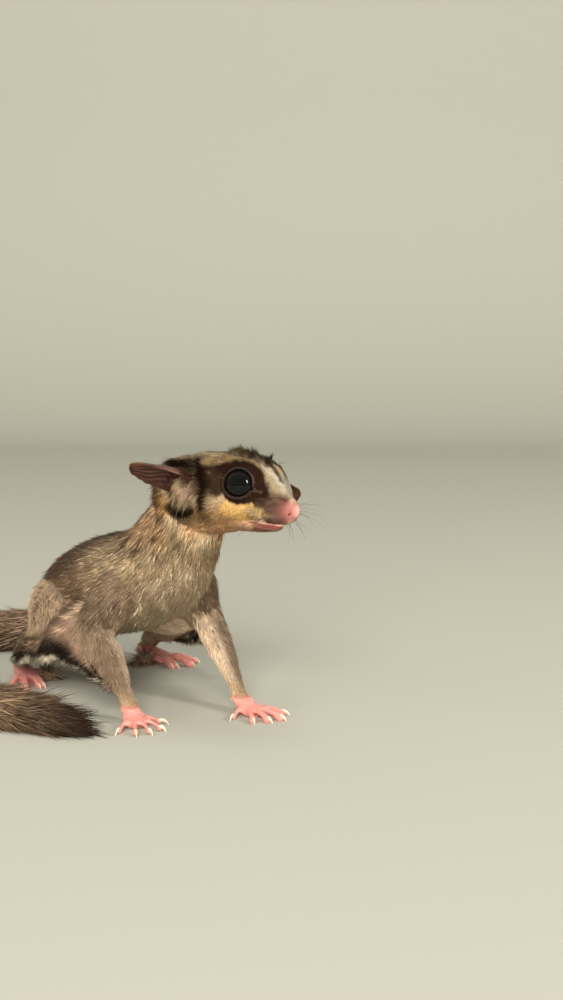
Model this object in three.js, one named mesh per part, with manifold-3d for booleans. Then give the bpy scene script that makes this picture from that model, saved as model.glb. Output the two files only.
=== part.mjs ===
// A sugar glider on all fours, its forebody raised and its head turned to the left, as a still
// life-size museum model. Millimetres: +X is the way the body faces, +Y its left, +Z up, and the
// floor is z = 0 until the last lines, which set the origin under the middle of the model.
import * as THREE from "three";
import { mergeVertices } from "three/addons/utils/BufferGeometryUtils.js";
import Module from "manifold-3d";

const wasm = await Module();
wasm.setup();

// Driving sizes
const GAP = 0.3; // kept between the faces of neighbouring nodes
const HEAD_LENGTH = 44; // nape to nose tip
const HEAD_PLACE = [33.5, 1.5, 68]; // the nape, at the height of the nose tip
const HEAD_YAW = 22; // degrees, to the animal's left
const HEAD_ROLL = -9; // degrees, its left side down
const EYE_RADIUS = 4.9;
const EYE_PLACE = [26.6, 7.0, 5.5]; // in the head's frame, left eye
const EYE_TURN = 33; // degrees that the eye looks forward of straight sideways
const EYE_RAISE = 8; // degrees that it looks up
const LID_DEPTH = 0.75; // thickness of the lids over the eyeball
const LID_OPENING = 4.15; // radius of the round gap between the lids
const CORNER = { reach: 1.5, droop: 18 }; // the lids' front corner: its length, degrees down
const EAR_LENGTH = 20.5;
const EAR_WIDTH = 13.5;
const EAR_SHAPE = [ // [share of its length, share of its width]
  [0, 0.7], [0.12, 0.92], [0.3, 1], [0.5, 0.9], [0.7, 0.73], [0.85, 0.56], [0.95, 0.38], [1, 0.1],
];
const EAR_THICKNESS = 0.8;
const FOOT_DROP = 0.35; // how far pads are sunk below the floor, where they are cut flat

const radians = THREE.MathUtils.degToRad;
const at = (x, y, z) => new THREE.Vector3(x, y, z);

// Solids

// A closed solid from a geometry, its shared corners merged and its faces pointing out.
function solid(geometry, place = new THREE.Matrix4()) {
  const bare = new THREE.BufferGeometry();
  bare.setAttribute("position", geometry.getAttribute("position").clone());
  if (geometry.index) bare.setIndex(geometry.index.clone());
  const merged = mergeVertices(bare.applyMatrix4(place), 1e-4);
  const corners = merged.index.array;
  const faces = [];
  for (let i = 0; i < corners.length; i += 3) {
    const [a, b, c] = corners.slice(i, i + 3);
    if (a !== b && b !== c && c !== a) faces.push(a, b, c);
  }
  const build = (triVerts) =>
    new wasm.Manifold(
      new wasm.Mesh({ numProp: 3, vertProperties: merged.attributes.position.array, triVerts }),
    );
  const made = build(new Uint32Array(faces));
  return made.volume() > 0 ? made : build(new Uint32Array(faces.reverse()));
}

const all = (solids) => wasm.Manifold.union(solids);

// The largest closed surface of a solid: hollows are filled and loose scraps dropped.
function largest(body) {
  return body.decompose().reduce((best, piece) => (piece.volume() > best.volume() ? piece : best));
}

// Which of some solids has the middle of its box nearest to a place.
function nearest(pieces, place) {
  const away = (piece) => {
    const { min, max } = piece.boundingBox();
    return at(...min).add(at(...max)).divideScalar(2).distanceTo(place);
  };
  return pieces.reduce((best, piece) => (away(piece) < away(best) ? piece : best));
}

// Rings of points, each of the same count, joined into a closed skin with a fan over each end.
function skinOver(rings) {
  const sides = rings[0].length;
  const points = rings.flat();
  const faces = [];
  rings.slice(1).forEach((_, r) => {
    for (let s = 0; s < sides; s++) {
      const [a, b] = [r * sides + s, r * sides + ((s + 1) % sides)];
      faces.push(a, b, b + sides, a, b + sides, a + sides);
    }
  });
  for (const [ring, turn] of [[0, true], [rings.length - 1, false]]) {
    const hub = points.length;
    points.push(rings[ring].reduce((sum, p) => sum.add(p), at(0, 0, 0)).divideScalar(sides));
    for (let s = 0; s < sides; s++) {
      const [a, b] = [ring * sides + s, ring * sides + ((s + 1) % sides)];
      faces.push(...(turn ? [hub, b, a] : [hub, a, b]));
    }
  }
  return new THREE.BufferGeometry().setFromPoints(points).setIndex(faces);
}

// A rounded tube through stations. Each station is [x, y, z, half-width, height above, depth
// below], the last two across the line, and grow makes the whole tube fatter.
function tube(stations, { steps, sides, upward = at(0, 0, 1), square = 2, grow = 0 }) {
  const line = new THREE.CatmullRomCurve3(stations.map((s) => at(s[0], s[1], s[2])));
  const girth = new THREE.CatmullRomCurve3(
    stations.map((s) => at(s[3], s[4] ?? s[3], s[5] ?? s[4] ?? s[3])),
  );
  const rings = [];
  for (let i = 0; i <= steps; i++) {
    const t = i / steps;
    const middle = line.getPoint(t);
    const along = line.getTangent(t);
    const across = upward.clone().cross(along).normalize();
    const over = along.clone().cross(across);
    const size = girth.getPoint(t).addScalar(grow);
    rings.push(
      Array.from({ length: sides }, (_, s) => {
        const angle = (2 * Math.PI * s) / sides;
        const [c, d] = [Math.cos(angle), Math.sin(angle)];
        const x = Math.sign(c) * Math.abs(c) ** (2 / square) * size.x;
        const z = Math.sign(d) * Math.abs(d) ** (2 / square) * (d > 0 ? size.y : size.z);
        return middle.clone().addScaledVector(across, x).addScaledVector(over, z);
      }),
    );
  }
  return skinOver(rings);
}

// An ellipsoid with its middle at a place and as many sides as detail says.
function egg(place, radii, detail) {
  const round = new THREE.SphereGeometry(1, detail, Math.round(detail * 0.6));
  return round.scale(...radii).translate(...place);
}

const ball = (place, radius, detail) => egg(place, [radius, radius, radius], detail);

// A box that stands on a point, turned so that its thickness rises along a normal.
function slab(point, normal, width, thickness) {
  const turn = new THREE.Quaternion().setFromUnitVectors(at(0, 0, 1), normal.clone().normalize());
  const box = new THREE.BoxGeometry(width, width, thickness).translate(0, 0, thickness / 2);
  return solid(box.applyQuaternion(turn).translate(point.x, point.y, point.z));
}

// Everything on the positive side of a plane, as a box larger than the model.
const halfSpace = (point, normal) => slab(point, normal, 600, 600);

// The two sides of a thin cut across a solid: [what lies ahead of it, what lies behind].
function part(body, point, normal) {
  const back = point.clone().addScaledVector(normal.clone().normalize(), -GAP);
  const ahead = body.intersect(halfSpace(point, normal));
  const behind = body.intersect(halfSpace(back, normal.clone().negate()));
  return [largest(ahead), largest(behind)];
}

// Trunk: rump, loin, chest and neck, with its line ending inside the head

const TRUNK = [
  [-65, 0, 13.5, 3, 3, 3],
  [-61, 0, 16, 8.5, 8, 8],
  [-52, 0, 21, 15, 13, 12.5],
  [-38, 0, 27.5, 20, 17, 16.5],
  [-20, 0, 33, 22, 19, 19],
  [-2, 0, 37, 20.8, 19, 18.5],
  [13, 0, 42, 18.6, 17.4, 17.4],
  [23.5, 0.3, 48.8, 16.8, 15.8, 16.4],
  [31, 1.2, 57.5, 15.2, 14, 14.4],
  [37, 2.8, 65.5, 13.4, 12, 12.4],
  [39.5, 4, 69, 8, 7.5, 8],
];

// Where the neck is parted from the head and from the torso
const NAPE = { point: at(32.5, 1.2, 61), normal: at(0.42, 0.12, 0.9) };
const WITHERS = { point: at(25, 0.5, 50.5), normal: at(0.7, 0.06, 0.72) };

const trunk = (grow = 0) => solid(tube(TRUNK, { steps: 22, sides: 20, square: 2.15, grow }));

// Head, in its own frame: x runs from the nape to the nose, z = 0 is the nose tip's height

const HEAD = [
  [-6, 0, 2, 6.5, 5.5, 6.5],
  [-2, 0, 2, 11, 10, 11],
  [4, 0, 2.5, 13.3, 11.4, 12.6],
  [11, 0, 3, 14, 12.3, 13.2],
  [18, 0, 3.4, 13.4, 12.1, 12.4],
  [24, 0, 3.6, 11.8, 11.2, 11],
  [29, 0, 3, 9.7, 11.1, 9.4],
  [33, 0, 2, 7.4, 10.4, 7.8],
  [36.5, 0, 1.1, 5.7, 8.2, 6.3],
  [39, 0, 0.3, 4.6, 5.7, 5.2],
  [41.2, 0, -0.3, 3.5, 3.7, 4.1],
  [HEAD_LENGTH - 1.2, 0, -0.6, 1.3, 1.5, 1.9],
];
const JAW = [
  [14, 0, -4.2, 8, 3, 4],
  [22, 0, -4.6, 7, 2.6, 3.3],
  [29, 0, -5.4, 5.2, 2.2, 2.4],
  [34, 0, -5.7, 3.8, 1.9, 1.8],
  [37, 0, -5.7, 2.8, 1.4, 1.4],
  [38.8, 0, -5.5, 1.4, 0.7, 0.8],
];
const MOUTH = [ // the line between the lips, from the corner to the front, seen from the side
  [31, -5], [33.5, -5.1], [37, -4.9], [40.5, -4.6], [43, -4.2], [46, -4],
];
const MOUTH_GAP = 0.45;
const WHISKER_PAD = { place: [36.6, 2.5, -1.2], radii: [5.2, 3, 3.5] };
const NOSE = { place: [40.9, 0, -0.5], radii: [3.3, 3.5, 3.6] };
const NOSE_RIM = 0.2; // how far the bare nose stands out of the muzzle round it
const NOSTRIL = [
  [43.7, 1.1, -2.2, 0.4], [42.9, 2.3, -1.7, 0.5], [41.9, 3.1, -1.1, 0.4], [40.9, 4, -0.5, 0.3],
];
const PHILTRUM = [[44.7, 0, 0, 0.3], [44.2, 0, -2.2, 0.36], [43.1, 0, -5, 0.45]];
const SKULL = { steps: 20, sides: 22, square: 2.15 };

const headFrame = new THREE.Matrix4()
  .makeRotationFromEuler(new THREE.Euler(radians(HEAD_ROLL), 0, radians(HEAD_YAW), "ZYX"))
  .setPosition(...HEAD_PLACE);

const mirrored = (point, side) => [point[0], point[1] * side, ...point.slice(2)];

// The frame of an eye: its x axis is the way that the eye looks.
function eyeFrame(side) {
  const look = new THREE.Euler(0, -radians(EYE_RAISE), side * radians(90 - EYE_TURN), "ZYX");
  return new THREE.Matrix4().makeRotationFromEuler(look).setPosition(...mirrored(EYE_PLACE, side));
}

// The gap between the lids: round, with a pointed corner towards the nose.
function lidOpening(side) {
  const gap = new THREE.Shape();
  const corner = radians(26); // how far round the circle the corner's edges start
  gap.absarc(0, 0, LID_OPENING, corner, 2 * Math.PI - corner);
  gap.lineTo(LID_OPENING + CORNER.reach, 0);
  const depth = 2 * EYE_RADIUS;
  const cut = new THREE.ExtrudeGeometry(gap, { depth, bevelEnabled: false, curveSegments: 14 });
  // The extrusion runs along z, and is turned to run along the way that the eye looks.
  const [c, d] = [Math.cos(radians(CORNER.droop)), Math.sin(radians(CORNER.droop))];
  const toEye = new THREE.Matrix4().makeBasis(at(0, -side * c, -d), at(0, d, -side * c), at(1, 0, 0));
  return solid(cut, eyeFrame(side).multiply(toEye));
}

function mouthSlot() {
  const line = new THREE.SplineCurve(MOUTH.map(([x, z]) => new THREE.Vector2(x, z)));
  const upper = line.getPoints(8);
  const lower = upper.map((p) => new THREE.Vector2(p.x, p.y - MOUTH_GAP));
  const band = new THREE.Shape([...upper, ...lower.reverse()]);
  const slot = new THREE.ExtrudeGeometry(band, { depth: 20, bevelEnabled: false });
  return solid(slot.translate(0, 0, -10).rotateX(Math.PI / 2));
}

// The head before it is parted from the nose and the neck, with lids, lips and nostrils.
function wholeHead() {
  const flesh = [
    solid(tube(HEAD, SKULL)),
    solid(tube(JAW, { steps: 7, sides: 10, square: 2.2 })),
    solid(egg(NOSE.place, NOSE.radii.map((r) => r - NOSE_RIM), 12)),
  ];
  const hollows = [mouthSlot(), solid(tube(PHILTRUM, { steps: 4, sides: 5, upward: at(1, 0, 0) }))];
  for (const side of [1, -1]) {
    flesh.push(solid(egg(mirrored(WHISKER_PAD.place, side), WHISKER_PAD.radii, 10)));
    flesh.push(solid(ball(mirrored(EYE_PLACE, side), EYE_RADIUS + GAP + LID_DEPTH, 16)));
    hollows.push(solid(ball([0, 0, 0], EYE_RADIUS + GAP, 16), eyeFrame(side)));
    hollows.push(lidOpening(side));
    hollows.push(solid(tube(NOSTRIL.map((p) => mirrored(p, side)), { steps: 5, sides: 6 })));
  }
  return all(flesh).subtract(all(hollows)).transform(headFrame.elements);
}

// Ears: a cup whose length runs along x from its root, its hollow facing z

// The ear's share of its full width at a share of its length.
function earShare(s) {
  const next = Math.max(1, EAR_SHAPE.findIndex(([place]) => place >= s));
  const [[from, low], [to, high]] = EAR_SHAPE.slice(next - 1, next + 1);
  return low + ((high - low) * (s - from)) / (to - from);
}

function earShell(curl) {
  const rows = 11;
  const columns = 7;
  const rings = [];
  for (let i = 0; i <= rows; i++) {
    const s = 1 - (1 - i / rows) ** 1.5;
    const half = (EAR_WIDTH / 2) * earShare(s);
    const bend = curl * (1 - s) ** 1.3 + 0.45; // how far round the cup's sides are rolled, radians
    const inner = [];
    const outer = [];
    for (let j = 0; j <= columns; j++) {
      const v = (2 * j) / columns - 1;
      const angle = v * bend;
      const radius = half / Math.max(bend, 0.2);
      const lift = radius * (1 - Math.cos(angle));
      const x = s * EAR_LENGTH;
      inner.push(at(x, radius * Math.sin(angle), lift));
      const thin = EAR_THICKNESS * (1 - 0.25 * Math.abs(v));
      outer.push(at(x, (radius + thin) * Math.sin(angle), lift - thin * Math.cos(angle)));
    }
    rings.push([...inner, ...outer.reverse()]);
  }
  return skinOver(rings);
}

// Each ear's root and the ways that its length and its hollow face, in the head's frame. The
// right one is laid out and back, and the left one points forward.
const EARS = {
  ear_r: { root: [8.9, -8.6, 7.2], along: [-0.36, -0.91, 0.05], hollow: [0.5, -0.1, -0.8], curl: 1.5 },
  ear_l: { root: [12, 9.5, 7.8], along: [0.6, 0.78, -0.18], hollow: [0.6, -0.35, -0.55], curl: 1.4 },
};

function earFrame({ root, along, hollow }) {
  const x = at(...along).normalize();
  const y = at(...hollow).cross(x).normalize();
  return new THREE.Matrix4().makeBasis(x, y, x.clone().cross(y)).setPosition(...root);
}

// Legs, given for the left side as an upper and a lower length: [x, y, z, half-width, half-height]

const FORELEG = [
  [
    [20, 8, 43, 8, 9],
    [15.5, 13.5, 36.5, 7.6, 8.6],
    [9.5, 18, 27, 6.4, 6.8],
    [7, 18.6, 24, 4, 4.2],
  ],
  [
    [5.5, 18.6, 28.5, 4, 4.2],
    [8.5, 18.8, 26, 6, 6.2],
    [17, 18.8, 18.5, 5.5, 5.8],
    [25.5, 18.2, 11.6, 4.4, 4.6],
    [30.5, 18, 6.8, 3.5, 3.3],
    [34.5, 18, 3.6, 3.3, 2.3],
  ],
];
const HINDLEG = [
  [
    [-40, 8, 26, 10, 11],
    [-31, 15, 25.5, 10.5, 12.5],
    [-20, 21, 23.5, 9, 11],
    [-12, 24, 21.5, 6.6, 7],
    [-8, 24.5, 20.5, 3.6, 4],
  ],
  [
    [-9, 24.5, 23, 3.8, 4],
    [-14, 24.8, 20.8, 6.2, 6.6],
    [-25, 25.2, 15.2, 5.3, 5.8],
    [-36.5, 25.2, 10.5, 4.1, 4.5],
    [-40.5, 25.2, 7, 3.6, 3.9],
    [-42.3, 25.3, 4.2, 3, 2.8],
  ],
];
const STEP = { foreleg_l: 6, foreleg_r: 0, hindleg_l: -4, hindleg_r: 0 }; // each foot's stride
const JOINT_WIDTH = 11; // of the thin cut across a wrist or an ankle

// One length of a leg on its own side, its lower end moved on by the foot's stride.
function legStations(name, length) {
  const side = name.endsWith("_l") ? 1 : -1;
  const stations = (name.startsWith("fore") ? FORELEG : HINDLEG)[length];
  const last = stations.length - 1;
  return stations.map(([x, y, z, ...girth], i) => {
    const stride = (STEP[name] * (length + (i * (length ? 1 : 0.3)) / last)) / 2;
    return [x + (length ? stride : stride * 0.5), side * y, z, ...girth];
  });
}

function leg(name, grow = 0) {
  const shape = { sides: 10, upward: at(0.5, 0, 1), grow };
  return all([
    solid(tube(legStations(name, 0), { steps: 7, ...shape })),
    solid(tube(legStations(name, 1), { steps: 10, ...shape })),
  ]);
}

// Feet, in a frame whose x axis is the foot's own line on the floor, given for the left side.
// A digit is [way it points, degrees outward; where its root is; length; radius; pad radius].

const FOREPAW = {
  turn: 8,
  ahead: 0, // how far the palm lies ahead of the lower end of the leg
  palm: [[-4.5, 0, 5.6, 2.7, 2.2], [-1, 0, 3.5, 3.1, 2.2], [3, 0, 1.8, 3.8, 2.05], [7, 0, 1.5, 3.4, 1.6]],
  digits: [
    { way: -58, root: [1.2, -2.6], length: 6.6, radius: 0.95, pad: 1.15 },
    { way: -25, root: [4.6, -2.2], length: 8.6, radius: 0.98, pad: 1.2 },
    { way: -5, root: [5.4, -0.6], length: 9.4, radius: 1.0, pad: 1.22 },
    { way: 12, root: [5.2, 1.1], length: 10.4, radius: 1.05, pad: 1.28 },
    { way: 36, root: [3.6, 2.5], length: 8.8, radius: 0.98, pad: 1.2 },
  ],
  knuckle: 1.5,
};
const HINDFOOT = {
  turn: 12,
  ahead: 4.3,
  palm: [[-6.5, 0, 3.8, 2.8, 2.4], [-2, 0, 2.6, 3.4, 2.4], [4.5, 0, 1.9, 4.2, 2.1], [9.5, 0, 1.6, 3.9, 1.7]],
  digits: [
    { way: -72, root: [3.4, -2.4], length: 8.2, radius: 1.35, pad: 1.9, bare: true },
    { way: -13, root: [8.4, -2.3], length: 7.8, radius: 0.92, pad: 1.05 },
    { way: -10, root: [8.6, -0.9], length: 8.6, radius: 0.92, pad: 1.05 },
    { way: 8, root: [8.2, 1.1], length: 11.6, radius: 1.1, pad: 1.4 },
    { way: 27, root: [6.6, 2.6], length: 10.6, radius: 1.05, pad: 1.3 },
  ],
  knuckle: 1.9,
};
const CLAW = { length: 3.1, radius: 0.62, drop: 1.25 };
const FEET = {
  forepaw_l: { shape: FOREPAW, legName: "foreleg_l" },
  forepaw_r: { shape: FOREPAW, legName: "foreleg_r" },
  hindfoot_l: { shape: HINDFOOT, legName: "hindleg_l" },
  hindfoot_r: { shape: HINDFOOT, legName: "hindleg_r" },
};

// One digit: a finger that arches over its knuckle down to its pad, with a hooked claw.
function digit({ way, root, length, radius, pad, bare }, knuckle) {
  const heading = at(Math.cos(radians(way)), Math.sin(radians(way)), 0);
  const point = (reach, height) => [root[0] + heading.x * reach, root[1] + heading.y * reach, height];
  const finger = [
    [...point(-1.5, 1.9), radius * 1.1],
    [...point(length * 0.32, radius + knuckle * 0.75), radius * 1.02],
    [...point(length * 0.62, radius + knuckle * 0.45), radius * 0.9],
    [...point(length * 0.86, pad - FOOT_DROP), pad],
    [...point(length, pad - FOOT_DROP + 0.1), pad * 0.55],
  ];
  const start = length * 0.84;
  const base = pad * 1.15;
  const claw = [
    [...point(start, base), CLAW.radius * 0.8, CLAW.radius],
    [...point(start + CLAW.length * 0.55, base + 0.15), CLAW.radius * 0.62, CLAW.radius * 0.85],
    [...point(start + CLAW.length, base + 0.15 - CLAW.drop), 0.16, 0.2],
  ];
  const made = solid(tube(finger, { steps: 4, sides: 6 }));
  return bare ? made : made.add(solid(tube(claw, { steps: 2, sides: 4 })));
}

function footFrame({ shape, legName }) {
  const side = legName.endsWith("_l") ? 1 : -1;
  const [x, y] = legStations(legName, 1).at(-1);
  const turn = new THREE.Matrix4().makeRotationZ(side * radians(shape.turn));
  return turn.setPosition(x + shape.ahead, y, 0);
}

function foot(spec) {
  const side = spec.legName.endsWith("_l") ? 1 : -1;
  const palm = spec.shape.palm.map((station) => mirrored(station, side));
  const digits = spec.shape.digits.map((one) =>
    digit({ ...one, way: one.way * side, root: mirrored(one.root, side) }, spec.shape.knuckle),
  );
  const whole = all([solid(tube(palm, { steps: 4, sides: 8 })), ...digits]);
  return whole.transform(footFrame(spec).elements);
}

// Gliding membrane: a soft fold along the flank, [x, y, z] of its root and of its free edge,
// given for the left side from the wrist to the ankle

const FOLD = [
  { root: [27.5, 17.5, 11.2], edge: [26, 21.8, 9.6] },
  { root: [18.5, 17, 19], edge: [15.5, 25.5, 13.5] },
  { root: [9, 15, 27.5], edge: [4.5, 28, 15] },
  { root: [-2, 16, 32], edge: [-6, 30.5, 13.6] },
  { root: [-14, 18, 28], edge: [-16, 32.5, 11] },
  { root: [-25, 20, 20], edge: [-26, 32, 9] },
  { root: [-35, 24, 11.8], edge: [-36, 29.2, 8.6] },
];
const FOLD_THICKNESS = 2.8; // skin and the fur of both faces
const FOLD_BULGE = 3.4; // how far the fold rounds out between its root and its edge
const RUFFLE = { height: 1.5, waves: 4.5 };

function membrane(side) {
  const roots = new THREE.CatmullRomCurve3(FOLD.map((f) => at(...mirrored(f.root, side))));
  const edges = new THREE.CatmullRomCurve3(FOLD.map((f) => at(...mirrored(f.edge, side))));
  const rows = 18;
  const across = 3;
  const rings = [];
  for (let i = 0; i <= rows; i++) {
    const t = i / rows;
    const [root, edge] = [roots.getPoint(t), edges.getPoint(t)];
    const out = at(0, side, 0);
    const wave = RUFFLE.height * Math.sin(2 * Math.PI * RUFFLE.waves * t) * Math.sin(Math.PI * t);
    const [front, back] = [[], []];
    for (let j = 0; j <= across; j++) {
      const u = j / across;
      const middle = root.clone().lerp(edge, u);
      middle.addScaledVector(out, wave * u + FOLD_BULGE * Math.sin(Math.PI * u) * Math.sin(Math.PI * t));
      const half = (FOLD_THICKNESS / 2) * (1 - 0.55 * u * u);
      front.push(middle.clone().addScaledVector(out, half).add(at(0, 0, half * 0.5)));
      back.push(middle.clone().addScaledVector(out, -half).add(at(0, 0, -half * 0.5)));
    }
    rings.push([...front, ...back.reverse()]);
  }
  return solid(skinOver(rings));
}

// Tail: it runs down from the rump and curls forward on the floor along the right side. Its
// stations are [x, y, z, radius of its coat], and the coat is flat, overlapping locks on a core.

const TAIL = [
  [-55, 0, 19, 6],
  [-67, -1, 13.2, 7.4],
  [-79, -8, 8.4, 8.8],
  [-88, -24, 6, 9.8],
  [-84, -43, 6, 10.3],
  [-68, -58, 6.1, 10.6],
  [-44, -65, 6.1, 10.5],
  [-18, -64, 5.8, 10],
  [6, -57, 5.2, 9],
  [24, -47, 4.1, 7.2],
  [34, -40, 2.9, 5],
  [39, -36, 1.6, 1.9],
];
const TAIL_CORE = 0.6; // radius of the core, as a share of the coat's
const TAIL_LENGTHS = ["tail_base", "tail_bend", "tail_middle", "tail_tip"];
const TAIL_CUTS = [0.24, 0.5, 0.76]; // where they are parted, as shares of the tail's line
const LOCKS = {
  rings: 12, // from the rump to the tip
  around: 5, // in a ring: right round where the tail is off the floor, and else over it
  lowest: -26, // degrees below level that a ring on the floor starts and ends
  seed: 4242,
};
// A lock, from root to tip: [share of its length, of the coat's depth, half its width as an angle
// in degrees, height of its ridge over its edges as a share of the coat's depth].
const LOCK = [
  [0, 0.46, 22, 0.08],
  [0.36, 0.82, 31, 0.15],
  [0.74, 0.98, 20, 0.13],
  [1, 0.99, 2, 0.03],
];
const LOCK_REACH = 0.135; // length of the longest, as a share of the tail's line
const LOCK_ROOM = 4; // gaps kept clear beside a lock, whose edges are thin wedges

const tailLine = new THREE.CatmullRomCurve3(TAIL.map((s) => at(s[0], s[1], s[2])));
const tailGirth = new THREE.CatmullRomCurve3(TAIL.map((s) => at(s[3], 0, 0)));

// A point of the tail's coat: how far along it, how far round, and its share of the coat's depth.
function onTail(share, turn, depth) {
  const t = Math.min(Math.max(share, 0), 1);
  const along = tailLine.getTangent(t);
  const side = along.clone().cross(at(0, 0, 1)).normalize();
  const out = side.clone().multiplyScalar(Math.cos(turn));
  out.addScaledVector(side.cross(along), Math.sin(turn));
  const past = along.multiplyScalar((share - t) * tailLine.getLength());
  return tailLine.getPoint(t).add(past).addScaledVector(out, tailGirth.getPoint(t).x * depth);
}

// One lock: it leaves the core, lies back along the tail and ends in a point. Grown, it is what
// the next length of the tail keeps clear of.
function lock({ start, turn, reach }, grow = 0) {
  const rings = LOCK.map(([along, depth, spread, ridge]) => {
    const share = start + along * (reach + grow / tailLine.getLength());
    const more = grow / tailGirth.getPoint(Math.min(share, 1)).x;
    const half = radians(spread) + LOCK_ROOM * more;
    return [
      onTail(share, turn + half, depth - ridge),
      onTail(share, turn, depth + more),
      onTail(share, turn - half, depth - ridge),
    ];
  });
  return solid(skinOver(rings));
}

// The same draws on every run, between 0 and 1.
function draws(seed) {
  let state = seed;
  return () => {
    state = (state * 16807) % 2147483647;
    return state / 2147483647;
  };
}

// Where each lock of the tail starts, how far round it lies and how long it is.
function tailCoat() {
  const draw = draws(LOCKS.seed);
  const locks = [];
  for (let ring = 0; ring < LOCKS.rings; ring++) {
    const lowest = onTail(ring / LOCKS.rings, radians(-90), 1).z > 0 ? -90 : LOCKS.lowest;
    for (let i = 0; i < LOCKS.around; i++) {
      const share = (i + (ring % 2 ? 0.75 : 0.25) + 0.24 * (draw() - 0.5)) / LOCKS.around;
      locks.push({
        start: 0.01 + (0.95 * (ring + 0.5 * draw())) / LOCKS.rings,
        turn: radians(lowest + (180 - 2 * lowest) * share),
        reach: LOCK_REACH * (0.72 + 0.28 * draw()),
      });
    }
  }
  return locks;
}

// Materials

const coat = (color) => new THREE.MeshStandardMaterial({ color, roughness: 0.9, metalness: 0 });
const LOOKS = {
  fur: coat("#8f8576"),
  cream: coat("#d8c39a"),
  dark: coat("#5d564e"),
  skin: new THREE.MeshStandardMaterial({ color: "#d69a92", roughness: 0.55, metalness: 0 }),
  ear: new THREE.MeshStandardMaterial({ color: "#8d6a60", roughness: 0.65, metalness: 0 }),
  eye: new THREE.MeshStandardMaterial({ color: "#0a0908", roughness: 0.05, metalness: 0 }),
};

// Assembly

const nodes = new Map();
const overFloor = halfSpace(at(0, 0, 0), at(0, 0, 1));
const body = trunk();
const bodyGrown = trunk(GAP);

const headAndBody = wholeHead().add(body);
const [headWhole, rearWhole] = part(headAndBody, NAPE.point, NAPE.normal);
const [neck, torso] = part(rearWhole, WITHERS.point, WITHERS.normal);
const noseGrown = egg(NOSE.place, NOSE.radii.map((r) => r + GAP), 12);
nodes.set("nose", [largest(headWhole.intersect(solid(egg(NOSE.place, NOSE.radii, 12), headFrame))), "skin"]);
nodes.set("head", [largest(headWhole.subtract(solid(noseGrown, headFrame))), "fur"]);
nodes.set("neck", [neck, "fur"]);
nodes.set("torso", [torso, "fur"]);

const skullGrown = solid(tube(HEAD, { ...SKULL, grow: GAP }), headFrame);
for (const [name, ear] of Object.entries(EARS)) {
  const shell = solid(earShell(ear.curl), headFrame.clone().multiply(earFrame(ear)));
  nodes.set(name, [largest(shell.subtract(skullGrown)), "ear"]);
}
for (const [name, side] of Object.entries({ eye_l: 1, eye_r: -1 })) {
  const eye = solid(ball([0, 0, 0], EYE_RADIUS, 16), headFrame.clone().multiply(eyeFrame(side)));
  nodes.set(name, [eye, "eye"]);
}

// Each length of the tail is a stretch of the core with the locks that start on it, whose tips
// lie over the next length.
const tailCuts = all(
  TAIL_CUTS.map((share) => slab(tailLine.getPoint(share), tailLine.getTangent(share), 30, GAP)),
);
const coreStations = TAIL.map(([x, y, z, coat]) => [x, y, z, coat * TAIL_CORE]);
const coreLengths = solid(tube(coreStations, { steps: 24, sides: 8 })).subtract(tailCuts).decompose();
const tailLocks = tailCoat();
let before = bodyGrown;
TAIL_LENGTHS.forEach((name, i) => {
  const [from, to] = [[0, ...TAIL_CUTS][i], [...TAIL_CUTS, 1][i]];
  const core = nearest(coreLengths, tailLine.getPoint((from + to) / 2));
  const own = tailLocks.filter(({ start }) => start >= from && start < to);
  const length = all([core, ...own.map((one) => lock(one))]).intersect(overFloor).subtract(before);
  nodes.set(name, [largest(length), name === "tail_tip" ? "dark" : "fur"]);
  before = all(own.map((one) => lock(one, GAP)));
});

for (const [name, spec] of Object.entries(FEET)) {
  const shin = new THREE.CatmullRomCurve3(legStations(spec.legName, 1).map((s) => at(s[0], s[1], s[2])));
  const last = shin.points.length - 1;
  const joint = last - (name.startsWith("hind") ? 2 : 1);
  const cut = slab(shin.points[joint], shin.getTangent(joint / last), JOINT_WIDTH, GAP);
  const limb = leg(spec.legName).add(foot(spec)).intersect(overFloor).subtract(bodyGrown);
  const pieces = largest(limb).subtract(cut).decompose();
  nodes.set(name, [nearest(pieces, shin.points[last]), "skin"]);
  nodes.set(spec.legName, [nearest(pieces, shin.points[1]), "fur"]);
}

for (const [end, side] of Object.entries({ _l: 1, _r: -1 })) {
  const limbs = all([bodyGrown, leg("foreleg" + end, GAP), leg("hindleg" + end, GAP)]);
  nodes.set("membrane" + end, [largest(membrane(side).intersect(overFloor).subtract(limbs)), "cream"]);
}

// A mesh of a solid, in the model's frame.
function meshOf(name, shape, look) {
  const { vertProperties, triVerts } = shape.getMesh();
  const geometry = new THREE.BufferGeometry();
  geometry.setAttribute("position", new THREE.BufferAttribute(vertProperties, 3));
  geometry.setIndex(new THREE.BufferAttribute(triVerts, 1));
  geometry.computeVertexNormals();
  const mesh = new THREE.Mesh(geometry, LOOKS[look]);
  mesh.name = name;
  return mesh;
}

const glider = new THREE.Group();
glider.name = "sugar_glider";
for (const [name, [shape, look]] of nodes) glider.add(meshOf(name, shape, look));

// The origin is on the floor, under the middle of the whole model.
const bounds = new THREE.Box3().setFromObject(glider);
const centre = bounds.getCenter(at(0, 0, 0));
glider.position.set(-centre.x, -centre.y, -bounds.min.z);

export default glider;
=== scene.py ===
"""A sugar glider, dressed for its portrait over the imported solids.

One skin stands for all the solids' flesh, with a coat of thin solid tufts that lie along the body,
glossy eyes, horn claws and whiskers. Places are in millimetres in the animal's own frame, where x
runs forwards, y to its left and z up from the floor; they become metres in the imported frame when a
mesh is made.
"""

import logging
import math
from abc import ABC, abstractmethod
from dataclasses import dataclass, replace
from enum import Enum
from typing import Iterable, Sequence

import bpy
import numpy as np
from bpy.types import GeometryNodeTree, Material, Mesh, Node, NodeSocket, Object
from mathutils import Matrix, Vector


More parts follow.
